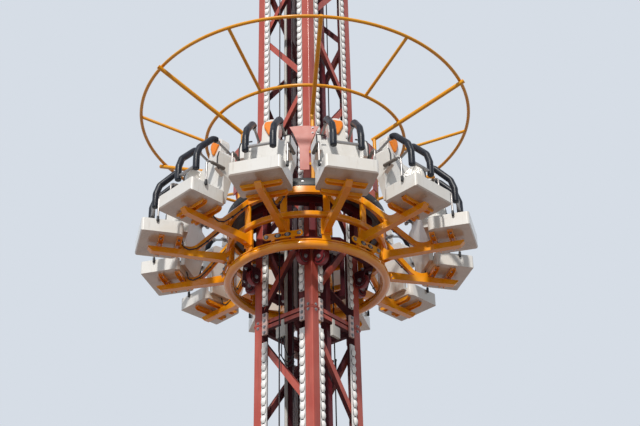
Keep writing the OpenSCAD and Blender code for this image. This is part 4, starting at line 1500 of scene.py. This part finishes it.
@dataclass
class Restraints:
    """Over-the-shoulder restraints, one to a seat."""

    tube_r: float = 0.022
    arm_r: float = 0.0185
    pad_r: float = 0.049
    bend: float = 0.11
    pivot_out: float = 0.044
    lap_up: float = 0.07
    pad_edge: float = 0.022

    def pad_path(self, side: int) -> list[Vector]:
        """Corner points of one padded bar, from over the shoulder to the lap.

        Args:
            side: -1 or 1, the side of the seat.

        Returns:
            The points, for a seat that faces along X.
        """
        y, start = side * SEAT.bar_gap / 2, SEAT.bar_top_r
        top, front = SEAT.bar_top, SEAT.bar_front
        return [Vector((r, y, z)) for r, z in (
            (start, top), (start + 0.07, top + 0.002), (front - 0.05, top - 0.268),
            (front, top - 0.43), (front, SEAT.bar_end))]

    def frame_mesh(self) -> Mesh:
        """Bare tubes: the pivot tube, the arms beside the head and the lap bar.

        Returns:
            The mesh, for a seat that faces along X.
        """
        bm = bmesh.new()
        half = SEAT.bar_gap / 2
        for r, wide, z in ((SEAT.pivot_r, half + self.pivot_out, SEAT.pivot_z),
                           (SEAT.bar_front, half, SEAT.bar_end + self.lap_up)):
            bent_tube(bm, [(r, -wide, z), (r, wide, z)], self.tube_r)
        for side in SIDES:
            y = side * half
            start = Vector((SEAT.pivot_r, y, SEAT.pivot_z))
            end = Vector((SEAT.bar_top_r + 0.025, y, SEAT.bar_top))
            bent_tube(bm, [start, end], self.arm_r)
            disc(bm, pointing(start, (0, 1, 0)), 0.034, 0.034, 0.05, 20)
            disc(bm, pointing(start.lerp(end, 0.86), (end - start).normalized()), 0.03, 0.03,
                 0.03, 20)
        return pattern_of(bm)

    def pad_mesh(self) -> Mesh:
        """Padded rolls along both bars, with domed ends.

        Returns:
            The mesh, for a seat that faces along X.
        """
        bm = bmesh.new()
        for side in SIDES:
            bent_tube(bm, self.pad_path(side), self.pad_r, self.bend, 20, 8)
        ends = [f for f in bm.faces if len(f.verts) > 8]
        rims = list({e for f in ends for e in f.edges})
        bmesh.ops.bevel(bm, geom=rims, offset=self.pad_edge, offset_type="OFFSET",
                        affect="EDGES", segments=5, profile=0.5, material=-1,
                        clamp_overlap=True)
        return pattern_of(bm)

    def build(self) -> None:
        """Makes every restraint as its padded bars and its bare tubes."""
        tubes, pads = self.frame_mesh(), self.pad_mesh()
        for number, place in enumerate(SEAT.places(), 1):
            name = f"restraint_{number:02d}"
            piece = piece_from(f"{name}_pads", copies(pads, [place]), SOFT_DEG)
            put(piece, name, "black_pad", [name])
            piece = piece_from(f"{name}_tubes", copies(tubes, [place]), SOFT_DEG)
            put(piece, name, "grey_tube")


@dataclass(frozen=True)
class Sun:
    """A distant light: its way to the camera's right and up, and how it shines."""

    name: str
    side: float
    rise: float
    power: float
    spread_deg: float
    tint: Colour


@dataclass
class Studio:
    """Floor, light and camera."""

    azimuth: float = 39.0
    pitch: float = 31.84
    roll: float = 1.06
    distance: float = 16.3
    offset: float = 0.213
    height: float = 1.845
    lens: float = 69.86
    floor_half: float = 90.0
    floor_z: float = -0.002
    sky: Colour = srgb(214, 221, 230)
    glow: Colour = (0.78, 0.87, 1.0)
    glow_power: float = 0.42
    suns: tuple[Sun, ...] = (Sun("key", -0.17, 0.86, 3.1, 3.0, (1.0, 0.965, 0.91)),
                             Sun("fill", -1.5, 0.3, 0.4, 60.0, (0.86, 0.92, 1.0)))

    def floor(self) -> None:
        """A pale floor under the tower."""
        bm = bmesh.new()
        bmesh.ops.create_grid(bm, x_segments=1, y_segments=1, size=self.floor_half,
                              matrix=moved(0, 0, self.floor_z))
        piece = piece_from("studio_floor", bm)
        piece.data.materials.append(Backdrop("pale_floor", srgb(226, 228, 231)).build())

    def world(self) -> None:
        """Pale surroundings: plain to the camera and in reflections, softer as light."""
        world = bpy.data.worlds.new("studio")
        world.use_nodes = True
        nodes = Nodes(world.node_tree)
        camera, glossy = rays(nodes)
        light, seen = [
            nodes.node("ShaderNodeBackground", {"Color": colour, "Strength": power})
            for colour, power in ((self.glow, self.glow_power), (self.sky, 1.0))]
        either = camera.compute("MAXIMUM", camera, glossy)
        nodes.end("ShaderNodeOutputWorld",
                  nodes.node("ShaderNodeMixShader", {0: either, 1: light, 2: seen}))
        bpy.context.scene.world = world

    def axes(self) -> tuple[Vector, Vector]:
        """Horizontal directions from the tower to the camera, and to the camera's right."""
        a = radians(self.azimuth)
        return (Vector((sin(a), -cos(a), 0)), Vector((cos(a), sin(a), 0)))

    def place(self, name: str, data: Any, at: Vector, turn: Any) -> Object:
        """Links a light or a camera at a place.

        Args:
            name: Name of the object.
            data: The light or the camera.
            at: Where it stands.
            turn: Its direction, as a quaternion.

        Returns:
            The object.
        """
        made = bpy.data.objects.new(name, data)
        made.location = at
        made.rotation_mode = "QUATERNION"
        made.rotation_quaternion = turn
        bpy.context.scene.collection.objects.link(made)
        return made

    def lamps(self) -> None:
        """One broad key from the front left and a weak fill from far left."""
        back, right = self.axes()
        for sun in self.suns:
            data = bpy.data.lights.new(sun.name, "SUN")
            data.energy, data.color = sun.power, sun.tint
            data.angle = radians(sun.spread_deg)
            to_light = (back + right * sun.side + Vector((0, 0, sun.rise))).normalized()
            self.place(sun.name, data, Vector((0, 0, 0)), to_light.to_track_quat("Z", "Y"))

    def camera(self) -> None:
        """The photograph's camera: low, in front of a corner, tilted up."""
        data = bpy.data.cameras.new("camera")
        data.sensor_width, data.lens, data.clip_end = 36.0, self.lens, 500.0
        back, right = self.axes()
        at = back * self.distance + right * self.offset + Vector((0, 0, self.height))
        turn = (Matrix.Rotation(radians(self.azimuth), 3, "Z")
                @ Matrix.Rotation(radians(90.0 + self.pitch), 3, "X")
                @ Matrix.Rotation(radians(-self.roll), 3, "Z"))
        bpy.context.scene.camera = self.place("camera", data, at, turn.to_quaternion())

    def build(self) -> None:
        """Makes the studio."""
        self.floor()
        self.world()
        self.lamps()
        self.camera()
        bpy.context.scene.view_settings.view_transform = "Standard"


def main() -> None:
    """Builds the assemblies in order and reports each piece."""
    for part in (Studio(), Tower(), Carriage(), RingFrame(), Crown(), Seats(), Restraints()):
        before = set(bpy.data.objects)
        part.build()
        for piece in bpy.data.objects:
            if piece not in before and piece.type == "MESH":
                LOG.info("%s: %s, %d faces", type(part).__name__, piece.name,
                         len(piece.data.polygons))


if __name__ == "__main__":
    main()
